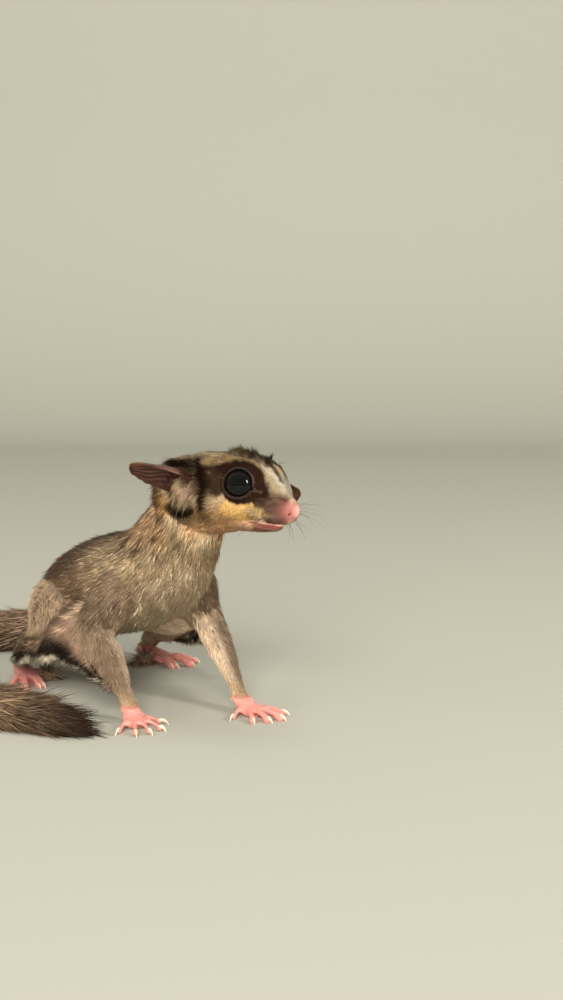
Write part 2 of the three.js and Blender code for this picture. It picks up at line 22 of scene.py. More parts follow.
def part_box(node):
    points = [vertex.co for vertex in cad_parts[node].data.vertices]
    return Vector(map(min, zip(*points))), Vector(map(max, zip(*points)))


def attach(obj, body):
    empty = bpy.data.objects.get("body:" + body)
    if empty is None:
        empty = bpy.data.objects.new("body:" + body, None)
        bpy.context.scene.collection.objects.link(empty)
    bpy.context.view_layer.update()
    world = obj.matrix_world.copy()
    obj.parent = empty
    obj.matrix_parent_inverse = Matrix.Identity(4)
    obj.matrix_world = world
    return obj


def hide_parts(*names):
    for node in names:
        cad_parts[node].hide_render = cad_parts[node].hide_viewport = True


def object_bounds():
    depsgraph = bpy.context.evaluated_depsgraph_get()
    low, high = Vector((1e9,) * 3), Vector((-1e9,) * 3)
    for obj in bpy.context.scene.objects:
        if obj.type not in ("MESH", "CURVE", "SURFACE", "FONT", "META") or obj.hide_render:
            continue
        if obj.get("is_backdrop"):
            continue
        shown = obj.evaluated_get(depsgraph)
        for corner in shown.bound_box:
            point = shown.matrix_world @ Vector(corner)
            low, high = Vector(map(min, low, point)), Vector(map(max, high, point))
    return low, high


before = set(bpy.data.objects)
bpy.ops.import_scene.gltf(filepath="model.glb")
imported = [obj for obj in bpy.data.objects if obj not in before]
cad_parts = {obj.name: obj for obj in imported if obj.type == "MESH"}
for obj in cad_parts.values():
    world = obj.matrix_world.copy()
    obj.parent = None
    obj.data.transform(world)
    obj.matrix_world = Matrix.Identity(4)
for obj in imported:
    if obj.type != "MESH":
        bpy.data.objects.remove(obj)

CAD_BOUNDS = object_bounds()
BODY = "root"
MM = 0.001  # metres
TURN = 2 * math.pi
WAVES = 14  # sine waves in each noise
WAVE_RATE = 2.2  # their spread, in radians over a patch
WAVE_SUM = 4.2  # about how far their sum reaches

logging.basicConfig(level=logging.INFO, format="%(message)s")
log = logging.getLogger("glider")

Array = np.ndarray
Station = Sequence[float]


# Numbers and curves


def unit(vectors: Array) -> Array:
    """Vectors of length one."""
    return vectors / np.maximum(np.linalg.norm(vectors, axis=-1, keepdims=True), 1e-12)


def ramp(low: float, high: float, value: Array) -> Array:
    """Rises smoothly from 0 at low to 1 at high, or falls where high is the lower."""
    share = np.clip((value - low) / (high - low), 0.0, 1.0)
    return share * share * (3 - 2 * share)


def blob(points: Array, middle: Station, radii: Station, soft: float = 0.3) -> Array:
    """1 inside an ellipsoid and 0 outside it, with a soft edge as a share of its radii."""
    reach = np.linalg.norm((points - np.asarray(middle)) / np.asarray(radii), axis=1)
    return ramp(1 + soft, 1 - soft, reach)


def mottle(points: Array, size: float, seed: int) -> Array:
    """Smooth noise of about -1 to 1 whose patches are some size across, in millimetres."""
    rng = np.random.default_rng(seed)
    rates = rng.normal(size=(WAVES, 3)) * (WAVE_RATE / size)
    phases = rng.uniform(0, TURN, WAVES)
    return np.sin(points @ rates.T + phases).sum(1) / WAVE_SUM


def linear(code: str) -> Array:
    """The linear colour of an sRGB hex code."""
    srgb = np.array([int(code[i : i + 2], 16) / 255 for i in (1, 3, 5)])
    return np.where(srgb <= 0.04045, srgb / 12.92, ((srgb + 0.055) / 1.055) ** 2.4)


class Curve:
    """A centripetal Catmull-Rom curve, which is how the solids' own lines run."""

    def __init__(self, points: Sequence[Station]) -> None:
        self.points = np.asarray(points, float)

    def at(self, share: Array) -> Array:
        """Points of the curve.

        Args:
            share: how far along each lies, from 0 to 1 in steps of one point.

        Returns:
            One row for each share.
        """
        points = self.points
        last = len(points) - 1
        place = np.clip(np.atleast_1d(share), 0, 1) * last
        piece = np.minimum(place.astype(int), last - 1)
        w = (place - piece)[:, None]
        ends = (2 * points[0] - points[1], 2 * points[-1] - points[-2])
        padded = np.vstack([ends[0], points, ends[1]])
        p0, p1, p2, p3 = (padded[piece + k] for k in range(4))
        d0, d1, d2 = (
            np.sqrt(np.linalg.norm(b - a, axis=1, keepdims=True))
            for a, b in ((p0, p1), (p1, p2), (p2, p3))
        )
        d1 = np.where(d1 < 1e-4, 1.0, d1)
        d0 = np.where(d0 < 1e-4, d1, d0)
        d2 = np.where(d2 < 1e-4, d1, d2)
        m1 = ((p1 - p0) / d0 - (p2 - p0) / (d0 + d1) + (p2 - p1) / d1) * d1
        m2 = ((p2 - p1) / d1 - (p3 - p1) / (d1 + d2) + (p3 - p2) / d2) * d1
        bend = -3 * p1 + 3 * p2 - 2 * m1 - m2
        return p1 + m1 * w + bend * w**2 + (2 * p1 - 2 * p2 + m1 + m2) * w**3

    def heading(self, share: Array) -> Array:
        """The way that the curve runs at each share."""
        share = np.atleast_1d(share)
        return unit(self.at(np.minimum(share + 1e-4, 1)) - self.at(np.maximum(share - 1e-4, 0)))


def turned(degrees: float, axis: str) -> Array:
    """A 4 by 4 rotation about X, Y or Z."""
    return np.array(Matrix.Rotation(math.radians(degrees), 4, axis))


def moved(place: Station) -> Array:
    """A 4 by 4 move."""
    return np.array(Matrix.Translation(Vector(place)))


def placed(matrix: Array, points: Array) -> Array:
    """Points carried by a 4 by 4 matrix."""
    return points @ matrix[:3, :3].T + matrix[:3, 3]


# Closed surfaces as arrays


@dataclass
class Shell:
    """A closed surface: its corners in millimetres and its triangles, facing out."""

    points: Array
    faces: Array

    def placed(self, matrix: Array) -> "Shell":
        """The shell carried by a matrix."""
        return Shell(placed(matrix, self.points), self.faces)

    def facing_out(self) -> "Shell":
        """The shell with its triangles turned, if they pointed in."""
        a, b, c = (self.points[self.faces[:, k]] for k in range(3))
        volume = np.einsum("ij,ij->", a, np.cross(b, c))
        return self if volume > 0 else Shell(self.points, self.faces[:, ::-1])


def joined(shells: Iterable[Shell]) -> Shell:
    """Several shells as one, each still closed by itself."""
    points, faces, count = [], [], 0
    for shell in shells:
        points.append(shell.points)
        faces.append(shell.faces + count)
        count += len(shell.points)
    return Shell(np.vstack(points), np.vstack(faces))


def skin_over(rings: Array) -> Shell:
    """A closed skin over rings of points, with a hub in each end.

    Args:
        rings: an array of rings, each with as many points as the others.

    Returns:
        The shell, facing out.
    """
    count, sides = rings.shape[:2]
    points = np.vstack([rings.reshape(-1, 3), rings[0].mean(0), rings[-1].mean(0)])
    side = np.arange(sides)
    after = (side + 1) % sides
    faces = []
    for row in range(count - 1):
        a, b = row * sides + side, row * sides + after
        faces += [np.stack([a, b, b + sides], 1), np.stack([a, b + sides, a + sides], 1)]
    end = (count - 1) * sides
    hub = np.full(sides, count * sides)
    faces += [np.stack([hub, after, side], 1), np.stack([hub + 1, end + side, end + after], 1)]
    return Shell(points, np.vstack(faces)).facing_out()


@dataclass(frozen=True)
class Tube:
    """A lofted length of body, with stations [x, y, z, half-width, half-height above, below].

    coat is the depth that the skin keeps below the solid, as a share of each station's width.
    """

    stations: Sequence[Station]
    steps: int = 60
    sides: int = 40
    square: float = 2.0
    upward: Station = (0, 0, 1)
    coat: float = 0.0

    def line(self) -> Curve:
        """The middle of the tube."""
        return Curve([s[:3] for s in self.stations])

    def girth(self, share: Array) -> Array:
        """Half-width and half-heights above and below at each share, coat included."""
        sizes = []
        for station in self.stations:
            wide, *high = station[3:]
            above = high[0] if high else wide
            sizes.append([wide, above, high[1] if len(high) > 1 else above])
        return Curve(sizes).at(share)

    def frames(self, share: Array) -> tuple[Array, Array, Array]:
        """The middle, the way across and the way over at each share."""
        along = self.line().heading(share)
        across = unit(np.cross(np.asarray(self.upward, float), along))
        return self.line().at(share), across, np.cross(along, across)

    def shell(self) -> Shell:
        """The skin of the tube, below its coat."""
        share = np.linspace(0, 1, self.steps + 1)
        middle, across, over = self.frames(share)
        girth = self.girth(share)
        girth = girth - self.coat * girth[:, :1]
        angle = np.linspace(0, TURN, self.sides, endpoint=False)
        c, d = np.cos(angle), np.sin(angle)
        x = np.sign(c) * np.abs(c) ** (2 / self.square)
        z = np.sign(d) * np.abs(d) ** (2 / self.square)
        high = np.where(d[None] > 0, girth[:, 1:2], girth[:, 2:3])
        rings = (
            middle[:, None]
            + across[:, None] * (x[None] * girth[:, :1])[..., None]
            + over[:, None] * (z[None] * high)[..., None]
        )
        return skin_over(rings)


def egg(middle: Station, radii: Station, detail: int) -> Shell:
    """An ellipsoid with rings of as many points as detail says."""
    rows = detail // 2
    polar = np.linspace(0, math.pi, rows + 1)[1:-1]
    angle = np.linspace(0, TURN, detail, endpoint=False)
    rings = np.empty((len(polar), detail, 3))
    rings[..., 0] = np.sin(polar)[:, None] * np.cos(angle)
    rings[..., 1] = np.sin(polar)[:, None] * np.sin(angle)
    rings[..., 2] = np.cos(polar)[:, None]
    shell = skin_over(rings)
    shell.points[-2:] = [[0, 0, 1], [0, 0, -1]]
    return Shell(shell.points * np.asarray(radii) + np.asarray(middle), shell.faces)


def grid(rows: Array, columns: Array) -> tuple[Array, Array]:
    """The two places of every crossing of rows and columns."""
    crossed = np.meshgrid(rows, columns, indexing="ij")
    return crossed[0].ravel(), crossed[1].ravel()


def left_half(points: Array) -> Array:
    """Places in the head's frame, all folded over to its left side."""
    return np.abs(points * [0, 1, 0]) + points * [1, 0, 1]


def mirrored(place: Station, side: int) -> list[float]:
    """A place given for the left side, on the side that is 1 for left and -1 for right."""
    return [place[0], place[1] * side, *place[2:]]


# Meshes


def mesh_of(name: str, shell: Shell) -> Mesh:
    """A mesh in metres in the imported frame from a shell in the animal's frame."""
    mesh = bpy.data.meshes.new(name)
    faces = shell.faces.astype(np.int32)
    mesh.vertices.add(len(shell.points))
    mesh.vertices.foreach_set("co", ((shell.points + SHIFT) * MM).astype(np.float32).ravel())
    mesh.loops.add(faces.size)
    mesh.loops.foreach_set("vertex_index", faces.ravel())
    mesh.polygons.add(len(faces))
    mesh.polygons.foreach_set("loop_start", np.arange(0, faces.size, 3, dtype=np.int32))
    mesh.update(calc_edges=True)
    return mesh


def object_of(name: str, mesh: Mesh) -> Object:
    """An object at the origin that shows a mesh."""
    made = bpy.data.objects.new(name, mesh)
    bpy.context.scene.collection.objects.link(made)
    return made


def drop(thing: Object) -> None:
    """Removes a helper object and its mesh."""
    mesh = thing.data
    bpy.data.objects.remove(thing)
    bpy.data.meshes.remove(mesh)


def settle(thing: Object) -> None:
    """Turns an object's modifiers into its plain mesh."""
    graph = bpy.context.evaluated_depsgraph_get()
    mesh, old = bpy.data.meshes.new_from_object(thing.evaluated_get(graph)), thing.data
    thing.modifiers.clear()
    thing.data = mesh
    bpy.data.meshes.remove(old)


def shell_of(mesh: Mesh) -> Shell:
    """A mesh's corners in the animal's frame, and its triangles."""
    points = np.empty(len(mesh.vertices) * 3, np.float32)
    mesh.vertices.foreach_get("co", points)
    mesh.calc_loop_triangles()
    faces = np.empty(len(mesh.loop_triangles) * 3, np.int32)
    mesh.loop_triangles.foreach_get("vertices", faces)
    return Shell(points.reshape(-1, 3) / MM - SHIFT, faces.reshape(-1, 3))


def fused(shells: Iterable[Shell], voxel: float, rounds: int) -> Shell:
    """One closed surface round overlapping shells.

    Args:
        shells: the closed surfaces to join.
        voxel: the size of the new faces, in millimetres.
        rounds: how many times the joined surface is smoothed.

    Returns:
        The outer surface of them all.
    """
    helper = object_of("fusing", mesh_of("fusing", joined(shells)))
    remesh = helper.modifiers.new("Remesh", "REMESH")
    remesh.mode = "VOXEL"
    remesh.voxel_size = voxel * MM
    smooth = helper.modifiers.new("Smooth", "SMOOTH")
    smooth.factor = 0.5
    smooth.iterations = rounds
    settle(helper)
    made = shell_of(helper.data)
    drop(helper)
    return made


def combined(base: Shell, others: Sequence[Shell], operation: str) -> Shell:
    """A shell with others added to it or cut from it.

    Args:
        base: the shell to change.
        others: closed shells, taken one after another.
        operation: UNION or DIFFERENCE.

    Returns:
        The changed shell.
    """
    helper = object_of("base", mesh_of("base", base))
    tools = []
    for i, other in enumerate(others):
        tool = object_of(f"tool_{i}", mesh_of(f"tool_{i}", other))
        tools.append(tool)
        modifier = helper.modifiers.new(f"Boolean {i}", "BOOLEAN")
        modifier.operation = operation
        modifier.solver = "MANIFOLD"
        modifier.object = tool
    settle(helper)
    made = shell_of(helper.data)
    for thing in (helper, *tools):
        drop(thing)
    return made


def normals_of(shell: Shell) -> Array:
    """A unit normal for each corner of a shell, weighted by the area round it."""
    a, b, c = (shell.points[shell.faces[:, k]] for k in range(3))
    face = np.cross(b - a, c - a)
    total = np.zeros_like(shell.points)
    for axis in range(3):
        for corner in range(3):
            total[:, axis] += np.bincount(
                shell.faces[:, corner], face[:, axis], minlength=len(total)
            )
    return unit(total)


def spread(shell: Shell, values: Array, rounds: int) -> Array:
    """Values at the corners of a shell, evened out over their neighbours."""
    links = np.vstack([shell.faces[:, [0, 1]], shell.faces[:, [1, 2]], shell.faces[:, [2, 0]]])
    start = np.concatenate([links[:, 0], links[:, 1]])
    end = np.concatenate([links[:, 1], links[:, 0]])
    count = np.maximum(np.bincount(start, minlength=len(shell.points)), 1)
    flat = values.reshape(len(values), -1).astype(float)
    for _ in range(rounds):
        for k in range(flat.shape[1]):
            near = np.bincount(start, flat[end, k], minlength=len(flat)) / count
            flat[:, k] = 0.4 * flat[:, k] + 0.6 * near
    return flat.reshape(values.shape)


# The animal's own sizes, as its solids have them

HEAD_FRAME = moved((33.5, 1.5, 68)) @ turned(22, "Z") @ turned(-9, "X")
HEAD_BACK = np.linalg.inv(HEAD_FRAME)
EYE_RADIUS = 4.9
EYE_PLACE = (26.6, 7.0, 5.5)
EYE_TURN = 33
EYE_RAISE = 8
BODY_VOXEL = 1.15  # size of the faces of trunk, legs and tail


def eye_frame(side: int) -> Array:
    """The frame of an eye in the head's: its x axis is the way that the eye looks."""
    place = moved(mirrored(EYE_PLACE, side))
    return place @ turned(side * (90 - EYE_TURN), "Z") @ turned(-EYE_RAISE, "Y")


def shift_to_frame() -> Array:
    """What takes the animal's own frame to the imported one, from where the left eye was packed."""
    low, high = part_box("eye_l")
    own = placed(HEAD_FRAME @ eye_frame(1), np.zeros((1, 3)))[0]
    return np.asarray((low + high) / 2) / MM - own


SHIFT = shift_to_frame()
LEGS = ("foreleg", "hindleg")
FEET = ("forepaw", "hindfoot")


class Side(Enum):
    """The animal's sides."""

    LEFT = 1
    RIGHT = -1

    @property
    def end(self) -> str:
        """The end of the names of this side's nodes."""
        return "_l" if self is Side.LEFT else "_r"


@dataclass(frozen=True)
class Strip:
    """A stretch of body that gives its coat a lie and an unwrap.

    Each row is a sample: its middle, the way hair points there, the girth round it, the way over,
    and its place in the unwrap. A sheet has rows across it too, and its unwrap goes round its edge.
    """

    name: str
    middles: Array
    lies: Array
    radii: Array
    overs: Array
    shares: Array
    length: float
    sheet: Array | None = None


def tube_strip(name: str, tube: Tube, forwards: bool, samples: int = 40, end: float = 1.0) -> Strip:
    """The strip of a tube, up to a share of it, whose hair points along its line or against it."""
    share = np.linspace(0, end, samples)
    middle, _, over = tube.frames(share)
    heading = tube.line().heading(share)
    length = float(np.linalg.norm(np.diff(middle, axis=0), axis=1).sum())
    lies = heading if forwards else -heading
    return Strip(name, middle, lies, tube.girth(share).mean(1), over, share, length)


def even_strip(
    name: str, middles: Array, lie: Array, radius: float, over: Station, shares: Array, length: float,
    sheet: Array | None = None,
) -> Strip:
    """A strip of one girth, whose lie and way over may be given once for all samples."""
    every = np.ones((len(middles), 1))
    radii = np.full(len(middles), radius)
    return Strip(name, middles, every * lie, radii, every * over, shares, length, sheet)


# Trunk


@dataclass(frozen=True)
class Trunk:
    """Rump, loin, chest and neck, whose line ends inside the head."""

    tube: Tube = Tube(
        (
            (-65, 0, 13.5, 3, 3, 3), (-61, 0, 16, 8.5, 8, 8), (-52, 0, 21, 15, 13, 12.5),
            (-38, 0, 27.5, 20, 17, 16.5), (-20, 0, 33, 22, 19, 19), (-2, 0, 37, 20.8, 19, 18.5),
            (13, 0, 42, 18.6, 17.4, 17.4), (23.5, 0.3, 48.8, 16.8, 15.8, 16.4),
            (31, 1.2, 57.5, 15.2, 14, 14.4), (37, 2.8, 65.5, 13.4, 12, 12.4), (39.5, 4, 69, 8, 7.5, 8),
        ),
        steps=110, sides=64, square=2.15, coat=0.17,
    )

    def shells(self) -> list[Shell]:
        """The flesh of the trunk."""
        return [self.tube.shell()]

    def strips(self) -> list[Strip]:
        """The lie of its coat, from the neck to the rump."""
        return [tube_strip("trunk", self.tube, forwards=False, samples=60, end=0.83)]


# Head


@dataclass(frozen=True)
class Head:
    """Skull, jaw, whisker pads, lids, lips and nose, in the head's own frame.

    Its x runs from the nape to the nose, and z = 0 is the height of the nose tip.
    """

    skull: Tube = Tube(
        (
            (-6, 0, 2, 6.5, 5.5, 6.5), (-2, 0, 2, 11, 10, 11), (4, 0, 2.5, 13.3, 11.4, 12.6),
            (11, 0, 3, 14, 12.3, 13.2), (18, 0, 3.4, 13.4, 12.1, 12.4), (24, 0, 3.6, 11.8, 11.2, 11),
            (29, 0, 3, 9.7, 11.1, 9.4), (33, 0, 2, 7.2, 9.7, 7.8), (36, 0, 1.2, 5.3, 7, 6.6),
            (38.5, 0, 0.4, 4, 4.4, 5.8), (41, 0, -0.3, 3.3, 3.1, 4.6), (42.8, 0, -0.6, 1.3, 1.5, 2),
        ),
        steps=110, sides=72, square=2.15, coat=0.065,
    )
    jaw: Tube = Tube(
        (
            (14, 0, -4.2, 8, 3, 4), (22, 0, -4.6, 7, 2.6, 3.3), (29, 0, -5.4, 5.2, 2.2, 2.4),
            (33.5, 0, -6, 3.6, 1.7, 1.4), (35.6, 0, -6, 2.5, 1.2, 1), (37.1, 0, -5.8, 1.7, 0.8, 0.6),
            (38, 0, -5.6, 0.7, 0.3, 0.3),
        ),
        steps=50, sides=40, square=2.2, coat=0.05,
    )
    pad: tuple = ((36.6, 2.5, -1.2), (5, 2.8, 3.3))  # middle and radii
    nose: tuple = ((39.5, 0, -0.5), (4.15, 3.2, 3.35))
    mouth: tuple = (  # (x, z) along the line between the lips
        (29.6, -4.9), (31, -5.1), (33.5, -5.35), (36.5, -5.45), (38.5, -5.5), (40.5, -5.45), (43, -5.2),
        (46, -5),
    )
    mouth_gap: float = 0.07
    chin: float = 38.2  # where the lower lip ends, and the slot opens downwards
    chin_end: float = 0.9  # length over which it opens
    chin_cut: float = 6.0  # how far down it opens
    nostrils: tuple = (
        ((43.7, 2, -2.3, 0.3), (42.8, 2.5, -1.9, 0.5), (42, 2.1, -1.6, 0.5), (40.8, 1.6, -1.2, 0.3)),
        ((43.3, 1.9, -2.1, 0.3), (42.7, 2.2, -1.4, 0.36), (42.2, 2.5, -0.8, 0.3), (41.8, 2.8, -0.2, 0.14)),
    )
    philtrum: tuple = ((44.1, 0, -0.5, 0.12), (43.7, 0, -2.2, 0.22), (42.6, 0, -4.8, 0.32))
    lip_height: float = 0.2
    lip_half: float = 0.8
    swells: tuple = (  # (height, middle, radii, softness) of cheek, brow and the hollow before the eye
        (0.5, (19, 10.5, -2.5), (9, 6, 4.5), 0.6),
        (0.55, (24.5, 7.5, 12.5), (6, 3.5, 3), 0.6),
        (-0.5, (33.5, 6.6, 3.2), (3, 2.4, 2.2), 0.7),
    )
    lid_thickness: float = 0.6
    eye_gap: float = 0.04  # between the eye and what is cut out for it
    opening: float = 4.2  # radius of the gap between the lids
    ahead: float = -0.45  # how far in front of the eye's middle the gap lies
    corner: tuple = (0.6, 18, 16)  # reach of the front corner, degrees down, degrees of its edges
    voxel: float = 0.42

    def lid_gap(self, side: int) -> Shell:
        """The gap between the lids: round, with a pointed corner towards the nose."""
        reach, droop, edge = self.corner
        angle = np.radians(np.linspace(edge, 360 - edge, 60))
        outline = np.stack([np.cos(angle), np.sin(angle)], 1) * self.opening
        outline = np.vstack([outline, [self.opening + reach, 0]])
        c, d = math.cos(math.radians(droop)), math.sin(math.radians(droop))
        forward, upward = np.array([0, -side * c, -d]), np.array([0, d, -side * c])
        flat = (outline[:, :1] + self.ahead) * forward + outline[:, 1:] * upward
        ends = [flat + [depth, 0, 0] for depth in (0.0, 2 * EYE_RADIUS)]
        return skin_over(np.stack(ends)).placed(eye_frame(side))

    def mouth_slot(self) -> Shell:
        """The thin slot between the lips, which opens downwards in front of the chin."""
        line = Curve(self.mouth).at(np.linspace(0, 1, 90))
        gap = self.mouth_gap + self.chin_cut * ramp(self.chin, self.chin + self.chin_end, line[:, 0])
        band = np.vstack([line, (line - np.stack([0 * gap, gap], 1))[::-1]])
        ends = [np.stack([band[:, 0], np.full(len(band), y), band[:, 1]], 1) for y in (-11, 11)]
        return skin_over(np.stack(ends))

    def shaped(self, shell: Shell) -> Shell:
        """The fused head with lips, brows and cheeks raised on it."""
        points, normals = shell.points, normals_of(shell)
        near = np.full(len(points), np.inf)
        for x, z in Curve(self.mouth).at(np.linspace(0, 1, 60)):
            near = np.minimum(near, np.hypot(points[:, 0] - x, points[:, 2] - z + 0.15))
        rise = self.lip_height * np.exp(-((near / self.lip_half) ** 2)) * ramp(27, 33, points[:, 0])
        for side in (1, -1):
            for height, middle, radii, soft in self.swells:
                rise += height * blob(points, mirrored(middle, side), radii, soft)
        return Shell(points + normals * rise[:, None], shell.faces)

    def shell(self) -> Shell:
        """The whole head, in the animal's frame."""
        flesh = [self.skull.shell(), self.jaw.shell(), egg(*self.nose, 64)]
        cuts = [self.mouth_slot(), Tube(self.philtrum, 12, 12, upward=(1, 0, 0)).shell()]
        for side in (1, -1):
            flesh.append(egg(mirrored(self.pad[0], side), self.pad[1], 40))
            flesh.append(egg(mirrored(EYE_PLACE, side), [EYE_RADIUS + self.lid_thickness] * 3, 60))
            cuts.append(egg((0, 0, 0), [EYE_RADIUS + self.eye_gap] * 3, 64).placed(eye_frame(side)))
            cuts.append(self.lid_gap(side))
            for nostril in self.nostrils:
                cuts.append(Tube([mirrored(s, side) for s in nostril], 24, 16).shell())
        whole = fused([s.placed(HEAD_FRAME) for s in flesh], self.voxel, 5).placed(HEAD_BACK)
        return combined(
            self.shaped(whole).placed(HEAD_FRAME), [cut.placed(HEAD_FRAME) for cut in cuts], "DIFFERENCE"
        )

    def strips(self) -> list[Strip]:
        """The lie of the coat, from the nose to the nape."""
        strip = tube_strip("head", self.skull, forwards=False, samples=50)
        turn = HEAD_FRAME[:3, :3].T
        middles = placed(HEAD_FRAME, strip.middles)
        return [replace(strip, middles=middles, lies=strip.lies @ turn, overs=strip.overs @ turn)]


# Ears


@dataclass(frozen=True)
class Ear:
    """The cup of one ear: its length runs along x from its root, its hollow faces z."""

    side: Side
    root: tuple
    along: tuple
    hollow: tuple
    curl: float
    length: float = 20.5
    width: float = 13.2
    outline: tuple = (  # (share of the length, share of the width)
        (0, 0.7), (0.12, 0.92), (0.3, 1), (0.5, 0.9), (0.7, 0.73), (0.85, 0.56), (0.93, 0.43), (0.98, 0.26),
        (1, 0.04),
    )
    thickness: float = 0.5
    ridges: float = 0.42  # height of the folds on the inside
    rim: float = 0.5  # how far the rim rolls up
    tip_bend: float = 0.45  # radians that half the cup still curls through at its tip
    waist: tuple = (0.3, 0.62, 0.24)  # depth, place and reach of the dip in its upper edge, as shares
    scallops: tuple = (0.035, 8)  # depth and number of the waves in its lower edge
    rows: int = 62
    columns: int = 48

    def frame(self) -> Array:
        """Where the ear stands, in the animal's frame."""
        x = Vector(self.along).normalized()
        y = Vector(self.hollow).cross(x).normalized()
        made = Matrix((x, y, x.cross(y))).transposed().to_4x4()
        made.translation = Vector(self.root)
        return HEAD_FRAME @ np.array(made)

    def half(self, share: Array | float) -> Array | float:
        """Half the ear's width at a share of its length."""
        places, widths = zip(*self.outline)
        return self.width / 2 * np.interp(share, places, widths)

    def bend(self, share: Array | float) -> Array | float:
        """Radians that half the cup curls through at a share of its length."""
        return self.curl * (1 - share) ** 1.3 + self.tip_bend

    def folds(self, s: Array, v: Array) -> Array:
        """The folds on the inside, from -1 to 1: fanned over the lower half, along the upper one."""
        lower = np.sin(TURN * (3.6 * v - 4.0 * s + 0.12 * np.sin(17 * s)))
        upper = np.sin(TURN * (3.4 * v + 0.8 * s))
        share = ramp(-0.15, 0.15, v)
        crumple = np.sin(TURN * (8 * s + 2.5 * v)) * ramp(0.5, 0.3, s) * ramp(-0.1, 0.4, v)
        away = ramp(0.08, 0.25, s) * ramp(1, 0.85, s) * (1 - v**4)
        return away * (lower * share * 0.9 + upper * (1 - share) * 0.5 + 0.6 * crumple)

    def place(self, points: Array) -> tuple[Array, Array]:
        """Where points lie on the ear: how far along it, and how far across from -1 to 1."""
        x, y, z = placed(np.linalg.inv(self.frame()), points).T
        s = np.clip(x / self.length, 0, 1)
        bend = self.bend(s)
        radius = np.maximum(self.half(s), 0.4) / bend
        return s, np.clip(np.arctan2(y, radius - z) / bend, -1, 1)

    def shell(self) -> Shell:
        """The cup, with folds along its inside and a slightly rolled rim."""
        rings = []
        v = np.linspace(-1, 1, self.columns + 1)
        depth, place, reach = self.waist
        wave, waves = self.scallops
        for i in range(self.rows + 1):
            s = 1 - (1 - i / self.rows) ** 1.5
            half = self.half(s) * (1 + wave * np.sin(TURN * waves * s) * (v > 0) * v**2)
            half = half * (1 - depth * math.exp(-(((s - place) / reach) ** 2)) * np.clip(-v, 0, 1))
            angle = v * self.bend(s)
            radius = half / self.bend(s)
            fold = self.ridges * self.folds(np.full(len(v), s), v)
            lift = radius * (1 - np.cos(angle)) + self.rim * np.abs(v) ** 6 * (1 - 0.5 * s)
            x = np.full(len(v), s * self.length)
            thin = self.thickness * (1 - 0.3 * np.abs(v) ** 3)
            inner = np.stack([x, radius * np.sin(angle), lift + fold], 1)
            under = lift + fold * 0.7 - thin * np.cos(angle)
            outer = np.stack([x, (radius + thin) * np.sin(angle), under], 1)
            rings.append(np.vstack([inner, outer[::-1]]))
        return skin_over(np.array(rings)).placed(self.frame())

    def strips(self) -> list[Strip]:
        """The lie of the down on the ear, towards its tip."""
        s, v = grid(np.linspace(0.1, 1, 20), np.linspace(-0.95, 0.95, 11))
        angle, radius = v * self.bend(s), self.half(s) / self.bend(s)
        local = np.stack([s * self.length, radius * np.sin(angle), radius * (1 - np.cos(angle))], 1)
        made = self.frame()
        middles, lie, over = placed(made, local), made[:3, 0], made[:3, 2]
        return [even_strip("ear" + self.side.end, middles, lie, 1.0, over, s, self.length, (v + 1) / 2)]


# Legs


@dataclass(frozen=True)
class Leg:
    """A leg as an upper and a lower length, given for the left side."""

    name: str
    upper: tuple
    lower: tuple
    stride: float
    side: Side
    coat: float = 0.15

    def stations(self, length: int) -> list[list[float]]:
        """One length on its own side, its lower end moved on by the foot's stride."""
        table = (self.upper, self.lower)[length]
        last = len(table) - 1
        made = []
        for i, (x, y, *rest) in enumerate(table):
            stride = self.stride * (length + i * (1 if length else 0.3) / last) / 2
            made.append([x + (stride if length else stride * 0.5), self.side.value * y, *rest])
        return made

    def tubes(self) -> list[Tube]:
        """The leg's two lengths."""
        return [Tube(self.stations(k), 40, 36, upward=(0.5, 0, 1), coat=self.coat) for k in (0, 1)]

    def shells(self) -> list[Shell]:
        """The flesh of the leg."""
        return [tube.shell() for tube in self.tubes()]

    def strips(self) -> list[Strip]:
        """The lie of its coat, down to the foot."""
        return [
            tube_strip(f"{self.name}{self.side.end}_{part}", tube, forwards=True, samples=20)
            for part, tube in zip(("upper", "lower"), self.tubes())
        ]


FORELEG = (
    ((20, 8, 43, 8, 9), (15.5, 13.5, 36.5, 7.6, 8.6), (9.5, 18, 27, 6.4, 6.8), (7, 18.6, 24, 4, 4.2)),
    (
        (5.5, 18.6, 28.5, 4, 4.2), (8.5, 18.8, 26, 6, 6.2), (17, 18.8, 18.5, 5.5, 5.8),
        (25.5, 18.2, 11.6, 4.4, 4.6), (30.5, 18, 6.8, 3.5, 3.3), (34.5, 18, 3.6, 3.3, 2.3),
    ),
)
HINDLEG = (
    (
        (-40, 8, 26, 10, 11), (-31, 15, 25.5, 10.5, 12.5), (-20, 21, 23.5, 9, 11),
        (-12, 24, 21.5, 6.6, 7), (-8, 24.5, 20.5, 3.6, 4),
    ),
    (
        (-9, 24.5, 23, 3.8, 4), (-14, 24.8, 20.8, 6.2, 6.6), (-25, 25.2, 15.2, 5.3, 5.8),
        (-36.5, 25.2, 10.5, 4.1, 4.5), (-40.5, 25.2, 7, 3.6, 3.9), (-42.3, 25.3, 4.2, 3, 2.8),
    ),
)


def legs() -> list[Leg]:
    """The four legs, each with its foot's stride."""
    left, right = Side.LEFT, Side.RIGHT
    return [
        Leg("foreleg", *FORELEG, 6, left),
        Leg("foreleg", *FORELEG, 0, right),
        Leg("hindleg", *HINDLEG, -4, left),
        Leg("hindleg", *HINDLEG, 0, right),
    ]


# Feet


